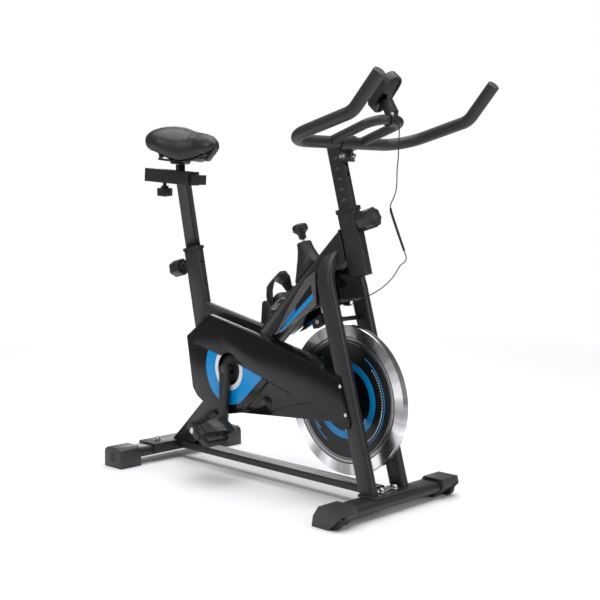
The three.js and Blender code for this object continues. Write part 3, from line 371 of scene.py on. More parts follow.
studio()
soft_light("top_light", (0.0, 0.0, 3.8), 190, 4.5)
soft_light("front_light", (3.4, 0.4, 1.9), 26, 1.5)
soft_light("side_light", (-0.4, -3.6, 2.2), 22, 1.5)
soft_light("back_light", (-2.9, 2.4, 1.5), 30, 1.6)


# ---------------------------------------------------------------- welded frame
# Steel tubes and flame-cut plates, welded together and powder coated in satin black.
# The rear bracket is bolted to its stabiliser; the posts and cranks have the same coat.
powder_coat = coated("powder_coat", "frame_paint", 0.019, 0.42, 600.0, 0.00004)


def evaluated_mesh(holder):
    depsgraph = bpy.context.evaluated_depsgraph_get()
    return bpy.data.meshes.new_from_object(holder.evaluated_get(depsgraph))


def settled(mesh, modifiers):
    """The mesh after these modifiers: (type, settings) pairs."""
    holder = shown("holder", mesh)
    for kind, settings in modifiers:
        modifier = holder.modifiers.new(kind, kind)
        for key, value in settings.items():
            setattr(modifier, key, value)
    result = evaluated_mesh(holder)
    bpy.data.objects.remove(holder)
    return result


def rounded(width, segments=2, angle=30.0):
    settings = {
        "width": width * MM, "segments": segments, "limit_method": "ANGLE",
        "angle_limit": math.radians(angle), "use_clamp_overlap": True,
    }
    return ("BEVEL", settings)


def dressed(node, finish, edge=0.0, segments=2, flat=True):
    """The node's own shape, its flat faces merged where flat is set, with softened edges."""
    shape = bmesh.new()
    shape.from_mesh(frame["nodes"][node].data)
    bmesh.ops.remove_doubles(shape, verts=shape.verts, dist=1e-6)
    if flat:
        verts, edges = list(shape.verts), list(shape.edges)
        bmesh.ops.dissolve_limit(shape, angle_limit=math.radians(0.4), verts=verts, edges=edges)
    mesh = bpy.data.meshes.new("shape")
    shape.to_mesh(mesh)
    shape.free()
    if edge:
        mesh = settled(mesh, [rounded(edge, segments, 32)])
    mesh.materials.clear()
    return keep(mesh, f"{node}_skin", frame["nodes"][node]["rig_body"], finish, [node], 50)


def joined(meshes):
    shape = bmesh.new()
    for mesh in meshes:
        shape.from_mesh(mesh)
    result = bpy.data.meshes.new("shape")
    shape.to_mesh(result)
    shape.free()
    return result


HEAD_TOP = Vector((266.6, 0, 763))
HEAD_UP = Vector((-0.26387, 0, 0.96456))
HEAD_FORWARD = Vector((0.96456, 0, 0.26387))


def on_head(up, forward=0.0, y=0.0):
    return HEAD_TOP + HEAD_UP * up + HEAD_FORWARD * forward + Vector((0, y, 0))


def box_tube(place, low, high, outer, inner, corner):
    """A rolled rectangular tube: sizes are (forward, across); open at both ends."""
    rings = []
    for (wide, deep), radius, level in ((outer, corner, low), (outer, corner, high),
                                        (inner, corner - 2, high), (inner, corner - 2, low)):
        ring = []
        for cx, cy, start in ((1, 1, 0), (-1, 1, 90), (-1, -1, 180), (1, -1, 270)):
            for turn in range(0, 91, 18):
                a = math.radians(start + turn)
                forward = cx * (wide / 2 - radius) + radius * math.cos(a)
                across = cy * (deep / 2 - radius) + radius * math.sin(a)
                ring.append(place(level, forward, across))
        rings.append(ring)
    return lofted(rings, closed=True)


def beam_mesh():
    """The beam's own shape, ending at the back of the head tube it is welded to."""
    shape = bmesh.new()
    shape.from_mesh(frame["nodes"]["main_beam"].data)
    bmesh.ops.remove_doubles(shape, verts=shape.verts, dist=1e-6)
    every = list(shape.verts) + list(shape.edges) + list(shape.faces)
    bmesh.ops.bisect_plane(shape, geom=every, plane_co=on_head(0, -29.5) * MM,
                           plane_no=HEAD_FORWARD, clear_outer=True)
    rim = [edge for edge in shape.edges if edge.is_boundary]
    bmesh.ops.triangle_fill(shape, use_beauty=True, edges=rim)
    bmesh.ops.recalc_face_normals(shape, faces=shape.faces)
    mesh = bpy.data.meshes.new("shape")
    shape.to_mesh(mesh)
    shape.free()
    mesh.materials.clear()
    return mesh


keep(beam_mesh(), "main_beam_skin", "frame", powder_coat, ["main_beam"], 50)
BEAM_MIDDLE = Vector((-2.75, 0, 430.9))
BEAM_SLOPE = math.radians(43.4)
BEAM_ALONG = Vector((math.cos(BEAM_SLOPE), 0, math.sin(BEAM_SLOPE)))


def weld_end(side, across):
    """Where the beam's upper (1) or lower (-1) face meets the back of the head tube."""
    start = BEAM_MIDDLE + Vector((-BEAM_ALONG.z, 0, BEAM_ALONG.x)) * 33.5 * side
    reach = (-30.5 - (start - HEAD_TOP).dot(HEAD_FORWARD)) / BEAM_ALONG.dot(HEAD_FORWARD)
    return start + BEAM_ALONG * reach + Vector((0, across, 0))


def bead(start, end, radius):
    """A weld bead: a low bar with the ripples that a welder leaves."""
    ripple = 4.5
    count = max(6, int((end - start).length / ripple * 4))
    points = [start.lerp(end, k / count) for k in range(count + 1)]
    radii = [radius * (1 + 0.1 * math.sin(k * math.pi / 2)) for k in range(count + 1)]
    return tube(points, radii, 12)


beads = [bead(weld_end(-1, y), weld_end(1, y), 3.2) for y in (-17.6, 17.6)]
beads.append(bead(weld_end(1, -17.6), weld_end(1, 17.6), 3.0))
keep(joined(beads), "head_welds", "frame", powder_coat, smooth=60)
head_mesh = box_tube(on_head, -171.5, 0, (60, 30), (51, 21), 6)
keep(head_mesh, "head_tube_skin", "frame", powder_coat, ["head_tube"], 50)
for node in ("seat_tube", "top_tube", "fork_leg_right", "fork_leg_left",
             "bottom_rail", "seat_post", "bar_post", "slider_tube"):
    dressed(node, powder_coat)
for node in ("front_base_plate", "crank_arm_right", "crank_arm_left"):
    dressed(node, powder_coat, 1.0)


def bolted_bracket_finish():
    """Powder coat, with the two zinc plated bolts above the plate."""
    finish = Finish("bolted_bracket", "frame_paint")
    bolt = finish.axes()[2] > 57.3 * MM
    fine = finish.noise(600.0, 3.0)
    coat = finish.blend(fine, grey(0.017), grey(0.021))
    finish.feed("Base Color", finish.blend(bolt, coat, grey(0.6)))
    finish.feed("Metallic", bolt)
    finish.feed("Roughness", 0.42 - bolt * 0.14 + (fine - 0.5) * 0.06)
    finish.relief(fine, 0.00004)
    return finish


dressed("rear_bracket", bolted_bracket_finish(), 0.8)
for node in ("front_stabiliser", "rear_stabiliser"):
    dressed(node, powder_coat)

steel = Finish("steel", "bright_steel", Metallic=1.0)
polish = steel.noise(160.0, 4.0, (1, 6, 1))
steel.feed("Base Color", steel.blend(polish, grey(0.6072), grey(0.66)))
steel.feed("Roughness", 0.28 + (polish - 0.5) * 0.1)
steel.relief(polish, 0.00002)


def screw_tree():
    """A domed head on a washer at every point, turned to the point's own axis."""
    tree = bpy.data.node_groups.new("screws", "GeometryNodeTree")
    names = {}
    for name, kind in (("Geometry", "NodeSocketGeometry"), ("Radius", "NodeSocketFloat"),
                       ("Height", "NodeSocketFloat"), ("Material", "NodeSocketMaterial")):
        names[name] = tree.interface.new_socket(name, in_out="INPUT", socket_type=kind).identifier
    tree.interface.new_socket("Geometry", in_out="OUTPUT", socket_type="NodeSocketGeometry")
    start = tree.nodes.new("NodeGroupInput")
    end = tree.nodes.new("NodeGroupOutput")

    def add(kind, settings=None, **values):
        made = tree.nodes.new(kind)
        for key, value in (settings or {}).items():
            setattr(made, key, value)
        for key, value in values.items():
            socket = made.inputs[key.replace("_", " ")]
            if isinstance(value, bpy.types.NodeSocket):
                tree.links.new(value, socket)
            else:
                socket.default_value = value
        return made

    def times(value, factor):
        made = add("ShaderNodeMath", {"operation": "MULTIPLY"})
        tree.links.new(value, made.inputs[0])
        made.inputs[1].default_value = factor
        return made.outputs[0]

    radius, height = start.outputs["Radius"], start.outputs["Height"]
    washer = add("GeometryNodeMeshCylinder", Vertices=20, Radius=times(radius, 1.45),
                 Depth=times(height, 0.7))
    head = add("GeometryNodeMeshCone", Vertices=20, Radius_Top=times(radius, 0.72),
               Radius_Bottom=radius, Depth=height)
    lift = add("GeometryNodeTransform", Geometry=head.outputs["Mesh"])
    shift = add("ShaderNodeCombineXYZ", Z=times(height, 0.3))
    tree.links.new(shift.outputs[0], lift.inputs["Translation"])
    both = tree.nodes.new("GeometryNodeJoinGeometry")
    tree.links.new(lift.outputs[0], both.inputs[0])
    tree.links.new(washer.outputs["Mesh"], both.inputs[0])
    direction = add("GeometryNodeInputNamedAttribute", {"data_type": "FLOAT_VECTOR"}, Name="axis")
    turn = add("FunctionNodeAlignRotationToVector", {"axis": "Z"},
               Vector=direction.outputs["Attribute"])
    placed = add("GeometryNodeInstanceOnPoints", Points=start.outputs["Geometry"],
                 Instance=both.outputs[0], Rotation=turn.outputs[0])
    real = add("GeometryNodeRealizeInstances", Geometry=placed.outputs[0])
    painted = add("GeometryNodeSetMaterial", Geometry=real.outputs[0],
                  Material=start.outputs["Material"])
    tree.links.new(painted.outputs[0], end.inputs[0])
    return tree, names


screws_tree, screw_inputs = screw_tree()


def screws(name, body, points, axis, radius, height, finish):
    """Screw heads at points (mm), facing along the axis, as one plain mesh on a body."""
    mesh = bpy.data.meshes.new(name)
    mesh.from_pydata([Vector(p) * MM for p in points], [], [])
    attribute = mesh.attributes.new("axis", "FLOAT_VECTOR", "POINT")
    for item in attribute.data:
        item.vector = axis
    holder = shown("holder", mesh)
    modifier = holder.modifiers.new("screws", "NODES")
    modifier.node_group = screws_tree
    modifier[screw_inputs["Radius"]] = radius * MM
    modifier[screw_inputs["Height"]] = height * MM
    modifier[screw_inputs["Material"]] = finish.material
    result = evaluated_mesh(holder)
    bpy.data.objects.remove(holder)
    return keep(result, name, body, finish, smooth=30)


bolt_places = [(-458.5, y, 60.5) for y in (-70, 70)]
screws("bracket_bolts", "frame", bolt_places, (0, 0, 1), 5.0, 8.0, steel)


# ---------------------------------------------------------------- caps, feet and wheels
# Moulded nylon caps pushed over the stabilisers' ends, each rear foot with a recess in its
# end, rubber-tyred transport wheels in front, zinc plated bolts, and a thin blank plate
# glued to the rear tube.
foot_plastic = coated("foot_plastic", "black_plastic", 0.030, 0.45, 600.0, 0.00006)

# Black moulding, also laid as painted shade in the rear feet's end recesses and in the pedal straps'
# slots.
dark_moulding_and_shade = coated("dark_moulding_and_shade", "black_plastic", 0.004, 0.5, 500.0, 0.00003)


def prism(outline, low, high):
    """An outline in the XZ plane made solid between two Y values."""
    return lofted([[(x, y, z) for x, z in outline] for y in (low, high)])


for side in ("right", "left"):
    dressed(f"front_cap_{side}", foot_plastic, 2.0, 3)
    dressed(f"rear_foot_{side}", foot_plastic, 1.6, 2, flat=False)
    dressed(f"transport_wheel_{side}", rubber, 0.6)
    dressed(f"base_bolt_{side}", steel, 0.4)

# Painted shade: a dark block set in each rear foot's end recess stands for the shade inside it.
recess_shade_blocks = []
for sign in (-1, 1):
    low, high = sorted((sign * 230, sign * 239.3))
    recess_shade_blocks.append(prism([(-469, 18.8), (-448, 18.8), (-448, 41), (-469, 41)], low, high))
keep(joined(recess_shade_blocks), "foot_recess_shade", "frame", dark_moulding_and_shade)
plate_grey = coated("plate_grey", "grey_trim", 0.16, 0.4, 500.0, 0.00001)
blank_plate = bmesh.new()
bmesh.ops.create_cube(blank_plate, size=1.0)
for vertex in blank_plate.verts:
    corner = vertex.co
    vertex.co = (-458.5 + corner.x * 38, -148 + corner.y * 46, 51.1 + corner.z * 0.5)
blank_mesh = settled(from_bmesh(blank_plate), [rounded(0.15)])
keep(blank_mesh, "blank_plate", "frame", plate_grey)


# ---------------------------------------------------------------- drive
# Turned steel axles and pulleys with a ribbed rubber belt, on sealed bearings. The large
# pulley and the cover's back plate are moulded in black nylon.
moulding = coated("moulding", "black_plastic", 0.015, 0.42, 500.0, 0.00004)

for node in ("crank_axle", "bottom_bracket_cartridge", "flywheel_pulley", "flywheel_axle"):
    dressed(node, steel, 0.4)
dressed("crank_pulley", moulding, flat=False)
dressed("drive_belt", rubber)
dressed("chain_case_back", moulding)


# ---------------------------------------------------------------- flywheel
# A heavy cast iron disc, its rim turned, chromed and polished, its colour streaked light and dark
# round the rim as painted reflection. Inside the rim it is painted black, with rings printed in blue
# and white.
def turned(profile, centre, axis, sides=64, closed=False):
    """A lathe piece: profile is [radius, height] pairs, height along axis."""
    shape = bmesh.new()
    turn = Vector((0, 0, 1)).rotation_difference(Vector(axis).normalized()).to_matrix()
    rings = []
    for radius, height in profile:
        if radius < 1e-6:
            rings.append([shape.verts.new(turn @ Vector((0, 0, height)) + Vector(centre))])
            continue
        ring = []
        for k in range(sides):
            a = 2 * math.pi * k / sides
            at = Vector((radius * math.cos(a), radius * math.sin(a), height))
            ring.append(shape.verts.new(turn @ at + Vector(centre)))
        rings.append(ring)
    pairs = list(zip(rings, rings[1:]))
    if closed:
        pairs.append((rings[-1], rings[0]))
    for one, two in pairs:
        for k in range(sides):
            j = (k + 1) % sides
            if len(one) == 1:
                shape.faces.new((one[0], two[j], two[k]))
            elif len(two) == 1:
                shape.faces.new((one[k], one[j], two[0]))
            else:
                shape.faces.new((one[k], one[j], two[j], two[k]))
    return from_bmesh(shape)


FLYWHEEL = Vector((265, 0, 269))

PRINT_BLUE = (0.0, 0.29, 0.71, 1)


def flywheel_finish():
    finish = Finish("flywheel_paint", "flywheel_iron")
    x, y, z = finish.axes()
    dx = x - FLYWHEEL.x * MM
    dz = z - FLYWHEEL.z * MM
    radius = (dx * dx + dz * dz).math("SQRT")

    def ring(low, high):
        return (radius > low * MM) * (radius < high * MM)

    rim = radius > 170.2 * MM
    groove = ring(154, 170.2)
    # Each half of the wheel has the same print, turned half a turn.
    side = (dx > 0.0) * 2.0 - 1.0
    angle = (dz * side).math("ARCTAN2", dx * side)
    blue_arc = ring(132.5, 135.5) * (angle > -0.92) * (angle < 1.05)
    dashes = ((angle * 110.0).math("SINE") > 0.0) * (angle > -0.1) * (angle < 0.8)
    dots = ring(125.5, 128.5) * dashes
    white_arc = ring(125.8, 128.2) * (angle < -0.1) * (angle > -0.92)
    inner_arc = ring(80.5, 84.5) * (angle < -0.55)
    white = (dots + white_arc + inner_arc).math("MINIMUM", 1.0)
    blue = (ring(85, 104) + blue_arc).math("MINIMUM", 1.0)
    fine = finish.noise(500.0, 3.0)
    around = finish.node("ShaderNodeCombineXYZ", inputs=[dx / radius, 0.0, dz / radius])
    # Painted reflection: the chrome rim's colour runs between dark and light grey in streaks round the
    # wheel, standing in for reflections.
    reflection_streak_noise = finish.node("ShaderNodeTexNoise", inputs={0: around, "Scale": 2.3, "Detail": 3.0})
    painted_reflection = reflection_streak_noise.ramp(0.36, 0.62)
    spun = finish.node("ShaderNodeCombineXYZ", inputs=[radius, y, 0.0])
    turned_lines = finish.node("ShaderNodeTexNoise", inputs={0: spun, "Scale": 900.0, "Detail": 2.0})
    colour = finish.blend(fine, grey(0.003), grey(0.005))
    colour = finish.blend(blue, colour, PRINT_BLUE)
    colour = finish.blend(white, colour, grey(0.8))
    chrome_with_painted_reflection = finish.blend(painted_reflection, grey(0.30), grey(0.86))
    dull = finish.blend((radius * 700.0).math("SINE").ramp(-0.2, 0.6), grey(0.16), grey(0.42))
    colour = finish.blend(groove, colour, dull)
    colour = finish.blend(rim, colour, chrome_with_painted_reflection)
    finish.feed("Base Color", colour)
    finish.feed("Metallic", (rim + groove).math("MINIMUM", 1.0))
    finish.feed("Roughness", 0.42 - rim * 0.22 - groove * 0.1 + (turned_lines - 0.5) * 0.1)
    finish.relief(turned_lines * rim + fine * (1.0 - rim) * 0.5, 0.00002)
    return finish


half_profile = [
    (10.3, 22), (31, 22), (32, 21), (32, 7.4), (34, 7), (60, 7), (150, 7), (154, 7.4),
    (157, 8.6), (163, 7.6), (169, 8.4), (170.5, 9.5), (198.6, 9.5), (200, 8.2),
]
other_profile = [(radius, -height) for radius, height in reversed(half_profile)]
flywheel_mesh = turned(half_profile + other_profile, FLYWHEEL, (0, 1, 0), 160, closed=True)
keep(flywheel_mesh, "flywheel_disc", "flywheel", flywheel_finish(), ["flywheel"], 25)


# ---------------------------------------------------------------- belt cover
# A glossy cover moulded in black plastic over the belt and screwed to the frame. It has a
# raised band along its top, ribs below it, a dish round the crank and a printed blue field.
CRANK = Vector((-134.5, 0, 312.5))
CASE_FACE = 64
CASE_FLARE = 0.03


def case_finish():
    finish = Finish("case_gloss", "gloss_cover", Specular_IOR_Level=0.3)
    x, y, z = finish.axes()
    dx = x - CRANK.x * MM
    dz = z - CRANK.z * MM
    radius = (dx * dx + dz * dz).math("SQRT")

    def beyond(a, b):
        """1 on the left of the line from a to b, seen from the rider's right."""
        (ax, az), (bx, bz) = a, b
        length = math.hypot(bx - ax, bz - az)
        nx, nz = -(bz - az) / length, (bx - ax) / length
        return ((x - ax * MM) * nx + (z - az * MM) * nz) > 0.0

    face = y < -(CASE_FACE - 3.5) * MM
    above_rear = beyond((-327.9, 378.9), (-143.9, 343.5))
    above_front = beyond((-91.5, 331.9), (115.3, 278.4))
    below_band = (1.0 - above_rear) * (1.0 - above_front)
    left_of_cut = beyond((-75.6, 228.5), (5.4, 301.5))
    field = face * below_band * left_of_cut
    wide = beyond((-134.5, 311), (-75.6, 228.5)) * (dx > 0.0)
    blue = field * (radius > 61 * MM) * (radius < 102.5 * MM).math("MAXIMUM", wide)
    white = face * below_band * (radius > 47 * MM) * (radius < 61 * MM) * left_of_cut
    drift = finish.noise(7.0, 3.0)
    fine = finish.noise(60.0, 2.0)
    colour = finish.blend(drift, grey(0.003), grey(0.005))
    colour = finish.blend(blue, colour, PRINT_BLUE)
    colour = finish.blend(white, colour, grey(0.85))
    finish.feed("Base Color", colour)
    finish.feed("Roughness", 0.1 + drift * 0.08 + (blue + white) * 0.08)
    finish.relief(fine, 0.00006)
    return finish


case_gloss = case_finish()
dressed("chain_case", case_gloss, 2.2, 3)


def on_case(x, z, proud=0.0):
    return Vector((x, -(CASE_FACE + CASE_FLARE * (x - CRANK.x)) - proud, z))


def case_plate(outline, under, proud):
    """A plate lying on the cover's slanted outer face."""
    return lofted([[on_case(x, z, lift) for x, z in outline] for lift in (proud, under)])


def arc(centre, radius, start, end, steps):
    """Points on an arc in the XZ plane, in degrees."""
    return [
        (centre[0] + radius * math.cos(math.radians(start + (end - start) * k / steps)),
         centre[1] + radius * math.sin(math.radians(start + (end - start) * k / steps)))
        for k in range(steps + 1)
    ]


band_outline = [
    (-300, 374), (-188, 352.6),
    *arc((CRANK.x, CRANK.z), 52, 138, 42, 10),
    (-84, 328), (115.3, 278.4), (300, 236), (338, 229), (303, 337), (243, 352), (234, 361),
    (-214, 454),
]
band_satin = coated("band_satin", "gloss_cover", 0.004, 0.2, 60.0, 0.00004, Specular_IOR_Level=0.35)
case_band = settled(case_plate(band_outline, -0.5, 0.9), [rounded(0.7, 3)])
keep(case_band, "case_band", "frame", band_satin)
dish_profile = [(12, 0), (14, 3), (30, 4), (38, 2), (46, -6), (46.5, -10), (44, -10), (12, -5)]
dish = turned(dish_profile, (CRANK.x, -55, CRANK.z), (0, -1, 0), closed=True)
keep(dish, "crank_dish", "frame", dark_moulding_and_shade)


def on_face(outline, under, proud, edge=0.4):
    return settled(case_plate(outline, under, proud), [rounded(edge)])


def bar_outline(start, end, half_start, half_end):
    """A long four-sided outline from start to end."""
    along = Vector((end[0] - start[0], end[1] - start[1])).normalized()
    side = Vector((-along.y, along.x))
    a, b = Vector(start), Vector(end)
    corners = [a + side * half_start, b + side * half_end, b - side * half_end, a - side * half_start]
    return [tuple(c) for c in corners]


def stadium_outline(centre, half, radius, tilt):
    """A round-ended outline, half its straight length each way along the tilt."""
    along = Vector((math.cos(math.radians(tilt)), math.sin(math.radians(tilt)))) * half
    middle = Vector(centre)
    return [
        *arc(middle + along, radius, tilt - 90, tilt + 90, 10),
        *arc(middle - along, radius, tilt + 90, tilt + 270, 10),
    ]


relief = joined([
    on_face(bar_outline((32, 294), (-72, 202), 3.5, 5), -0.5, 1.1),
    on_face(bar_outline((-90, 331), (115, 277.5), 1.4, 1.4), -0.5, 1.5),
    on_face(bar_outline((-300, 372.4), (-190, 351.2), 1.2, 1.2), -0.5, 1.4),
    on_face(arc((29.8, 236.9), 20, 0, 345, 30), -0.5, 0.9, 0.5),
    on_face(bar_outline((60, 222), (200, 262), 1.5, 1.5), -0.5, 1.0),
])
keep(relief, "case_ribs", "frame", case_gloss)
recesses = joined([
    on_face(stadium_outline((149, 274.5), 34, 8.5, -2), -0.5, 0.25, 0.2),
    on_face(stadium_outline((-39, 233.3), 42, 4.5, 37), -0.5, 0.25, 0.2),
    on_face(arc((29.8, 236.9), 7, 0, 345, 20), -0.5, 1.3, 0.3),
    on_face(arc((-166.5, 433.5), 3.2, 0, 345, 16), -0.5, 0.3, 0.1),
    on_face(arc((-33.7, 405.4), 3.2, 0, 345, 16), -0.5, 0.3, 0.1),
])
keep(recesses, "case_recesses", "frame", dark_moulding_and_shade)

screw_places = [on_case(310.7, 318.7, 0.6), on_case(330.4, 246.9, 0.6)]
screws("case_screws", "frame", screw_places, (0, -1, 0), 3.4, 2.4, steel)


# ---------------------------------------------------------------- shroud and trim
# A gloss black plastic shroud over the fork's top, in two halves, with a lacquered grey
# panel clipped to each side. The sensor that the lead serves is screwed inside it.
gloss_black = coated("gloss_black", "gloss_cover", 0.004, 0.16, 40.0, 0.00006, Specular_IOR_Level=0.35)


def within(finish, corners):
    """1 inside a convex outline in the XZ plane, its corners in clockwise order."""
    x, y, z = finish.axes()
    mask = None
    for (ax, az), (bx, bz) in zip(corners, corners[1:] + corners[:1]):
        length = math.hypot(bx - ax, bz - az)
        inward = ((bz - az) / length, -(bx - ax) / length)
        side = ((x - ax * MM) * inward[0] + (z - az * MM) * inward[1]) > 0.0
        mask = side if mask is None else mask * side
    return mask


def trim_finish():
    """Grey lacquered trim with a printed black field and a blue stripe along its foot."""
    finish = Finish("grey_trim", "grey_trim", Coat_Weight=0.2)
    fine = finish.noise(500.0, 3.0)
    drift = finish.noise(14.0, 3.0)
    field = within(finish, [(63, 441), (123, 509.4), (181, 573), (188, 532), (65, 434.6)])
    stripe = within(finish, [(65, 438), (118, 489), (186.5, 549), (188.5, 533), (66, 434.6)])
    wedge = within(finish, [(69, 446), (98, 480), (126, 509), (120, 494)])
    blue = (stripe + wedge).math("MINIMUM", 1.0)
    colour = finish.blend(drift, grey(0.085), grey(0.11))
    colour = finish.blend(field, colour, grey(0.004))
    colour = finish.blend(blue, colour, PRINT_BLUE)
    finish.feed("Base Color", colour)
    finish.feed("Roughness", 0.3 + (drift - 0.5) * 0.1 - field * 0.06)
    finish.relief(fine, 0.00003)
    return finish


dressed("front_shroud", gloss_black, 1.5, 3)
trim_lacquer = trim_finish()
for side in ("right", "left"):
    dressed(f"trim_panel_{side}", trim_lacquer, 2.0, 3)

sensor_block = prism([(216, 512), (236, 512), (236, 528), (216, 528)], 35, 43.3)
keep(settled(sensor_block, [rounded(1.5, 3)]), "sensor_block", "frame", moulding)


# ---------------------------------------------------------------- brake
# A moulded cowl over the brake's linkage. A plated rod with a screw-on knob pushes a
# pivoting arm down, and the arm presses a felt pad on the wheel's rim.
felt = coated("felt", "brake_felt", 0.03, 0.95, 500.0, 0.0006)

dressed("brake_cowl", moulding)
dressed("brake_rod", steel, 0.3)
dressed("brake_knob", moulding, 0.8)
dressed("brake_arm", moulding, 0.6)
dressed("brake_pad", felt, 1.0)

screws("pad_bolt", "brake_arm", [(166.4, -12.4, 468.4)], (0, -1, 0), 4.2, 3.0, steel)


# ---------------------------------------------------------------- knobs, collars and posts
# Star knobs moulded in nylon on steel screws, with a grey cap in each face. Moulded collars
# close the tubes; the posts have printed height marks and the saddle's channel has a
# pressed outline.
for node in ("seat_knob", "slider_knob", "bar_knob"):
    dressed(node, moulding, 1.0, 3)
for node in ("seat_collar", "bar_collar", "console_clamp"):
    dressed(node, moulding, 0.8)

SEAT_TOP = Vector((-362.5, 0, 643))
SEAT_UP = Vector((-0.21303, 0, 0.97705))
SEAT_FORWARD = Vector((0.97705, 0, 0.21303))


def on_seat(up, forward=0.0, y=0.0):
    return SEAT_TOP + SEAT_UP * up + SEAT_FORWARD * forward + Vector((0, y, 0))


grey_cap = coated("grey_cap", "black_plastic", 0.05, 0.38, 500.0, 0.00003)


def knob_face(knob, centre, axis, radius):
    """A ring and a slotted centre disc on the end of a star knob."""
    ring = [(0.74, -0.6), (0.86, -0.6), (0.86, 0.9), (0.8, 1.4), (0.74, 0.9)]
    disc = [(0, -0.5), (0.5, -0.5), (0.5, 0.8), (0.45, 1.3), (0, 1.3)]
    ring, disc = [[(radius * r, height) for r, height in shape] for shape in (ring, disc)]
    middle = centre + axis * 1.4
    half = Vector((0, radius * 0.36, 0))
    slot = tube([middle - half, middle + half], 1.5, 8)
    face = joined([turned(ring, centre, axis, 40, closed=True), turned(disc, centre, axis, 32), slot])
    keep(face, f"{knob}_face", knob, grey_cap, smooth=30)


knob_face("bar_knob", on_head(-35, 84), HEAD_FORWARD, 24)
knob_face("seat_knob", on_seat(-41, -100), -SEAT_FORWARD, 23)
knob_face("slider_knob", Vector((-499, 0, 806)), Vector((0, 0, -1)), 21)

mark_paint = coated("mark_paint", "white_graphic", 0.16, 0.5, 500.0, 0.00001)


def post_marks(name, body, place, ups):
    """Printed height marks: a short line and a longer one under it."""
    made = []
    for up in ups:
        for lift, half in ((3.5, 4.0), (0, 9.0)):
            corners = [(-0.6, 2 - half), (-0.6, 2 + half), (0.6, 2 + half), (0.6, 2 - half)]
            line = [place(up + lift + rise, along, -10) for rise, along in corners]
            made.append(lofted([[p + Vector((0, depth, 0)) for p in line] for depth in (0.3, -0.15)]))
    keep(joined(made), name, body, mark_paint)


post_marks("bar_post_marks", "bar", on_head, [31, 59, 87, 115, 143])
post_marks("seat_post_marks", "seat_post", on_seat, [42, 66, 90, 114])

CHANNEL_LINE = [(-552, 871), (-552, 876), (-384, 868), (-368, 862), (-361, 855), (-358, 838)]


def bent(corners, radii, steps):
    """Points along straight runs joined by round bends."""
    corners = [Vector(c) for c in corners]
    points = [corners[0]]
    for i, radius in enumerate(radii):
        before, corner, after = corners[i:i + 3]
        into = (corner - before).normalized()
        out = (after - corner).normalized()
        angle = into.angle(out)
        start = corner - into * radius * math.tan(angle / 2)
        inward = (out - into * out.dot(into)).normalized()
        for k in range(steps + 1):
            a = angle * k / steps
            swing = into * math.sin(a) + inward * (1 - math.cos(a))
            points.append(start + swing * radius)
    return points + [corners[-1]]


def channel_press(sign):
    """The pressed outline on one side of the saddle's channel."""
    points = [Vector((x, sign * 22.1, z)) for x, z in CHANNEL_LINE]
    return tube(bent(points, [2, 20, 10, 8], 5), 0.9, 8)


presses = joined([channel_press(-1), channel_press(1)])
keep(presses, "channel_press", "seat_post", powder_coat, smooth=60)


# ---------------------------------------------------------------- pedals
# Nylon treads on steel spindles. A broad rubber strap goes from side to side over each foot,
# with a ladder buckle on its outer side and a reflector. Caps cover the cranks' bolts.
def pedal_place(side):
    """From the pedal's own axes (along, outwards, up) to the bike's."""
    sign = -1 if side == "right" else 1
    centre = Vector((-142.4, -136, 137.7)) if side == "right" else Vector((-126.6, 136, 487.3))
    tilt = math.radians(30 if side == "right" else -40)
    turn = Matrix.Rotation(tilt, 3, "Y")
    return lambda x, y, z: centre + turn @ Vector((x, y * sign, z))


def strap_band(place, path, thick):
    """A flat strap: path is [x, y, z, half width, direction of its thickness in y and z]."""
    rings = []
    for x, y, z, half, ny, nz in path:
        sides = ((-1, 0), (-1, thick), (1, thick), (1, 0))
        rings.append([place(x + way * half, y + ny * out, z + nz * out) for way, out in sides])
    return lofted(rings)


def strap_path(first, last, steps, lift=0.0, width=1.0):
    """Points over the foot from the outer side (0) to the inner side (1)."""
    keys = [
        # share, x, y, z, half width
        (0.0, 2, 47, -6, 13), (0.12, 6, 48.5, 14, 13), (0.26, 18, 46, 38, 15),
        (0.4, 34, 32, 57, 23), (0.55, 44, 10, 66, 27), (0.7, 46, -14, 64, 26),
        (0.82, 40, -36, 50, 23), (0.92, 24, -46.5, 24, 17), (1.0, 6, -47, -6, 13),
    ]
    made = []
    for k in range(steps + 1):
        share = first + (last - first) * k / steps
        for one, two in zip(keys, keys[1:]):
            if share <= two[0] + 1e-9:
                t = (share - one[0]) / (two[0] - one[0])
                t = t * t * (3 - 2 * t) * 0.35 + t * 0.65
                made.append([p + (q - p) * t for p, q in zip(one[1:], two[1:])])
                break
    path = []
    for k, (x, y, z, half) in enumerate(made):
        before, after = made[max(k - 1, 0)], made[min(k + 1, len(made) - 1)]
        ty, tz = after[1] - before[1], after[2] - before[2]
        length = math.hypot(ty, tz)
        ny, nz = -tz / length, ty / length
        if y * ny + (z - 20) * nz < 0:
            ny, nz = -ny, -nz
        path.append((x, y + ny * lift, z + nz * lift, half * width, ny, nz))
    return path


reflector_paint = coated("reflector", "white_graphic", 0.7, 0.25, 500.0, 0.00002, Coat_Weight=0.5)


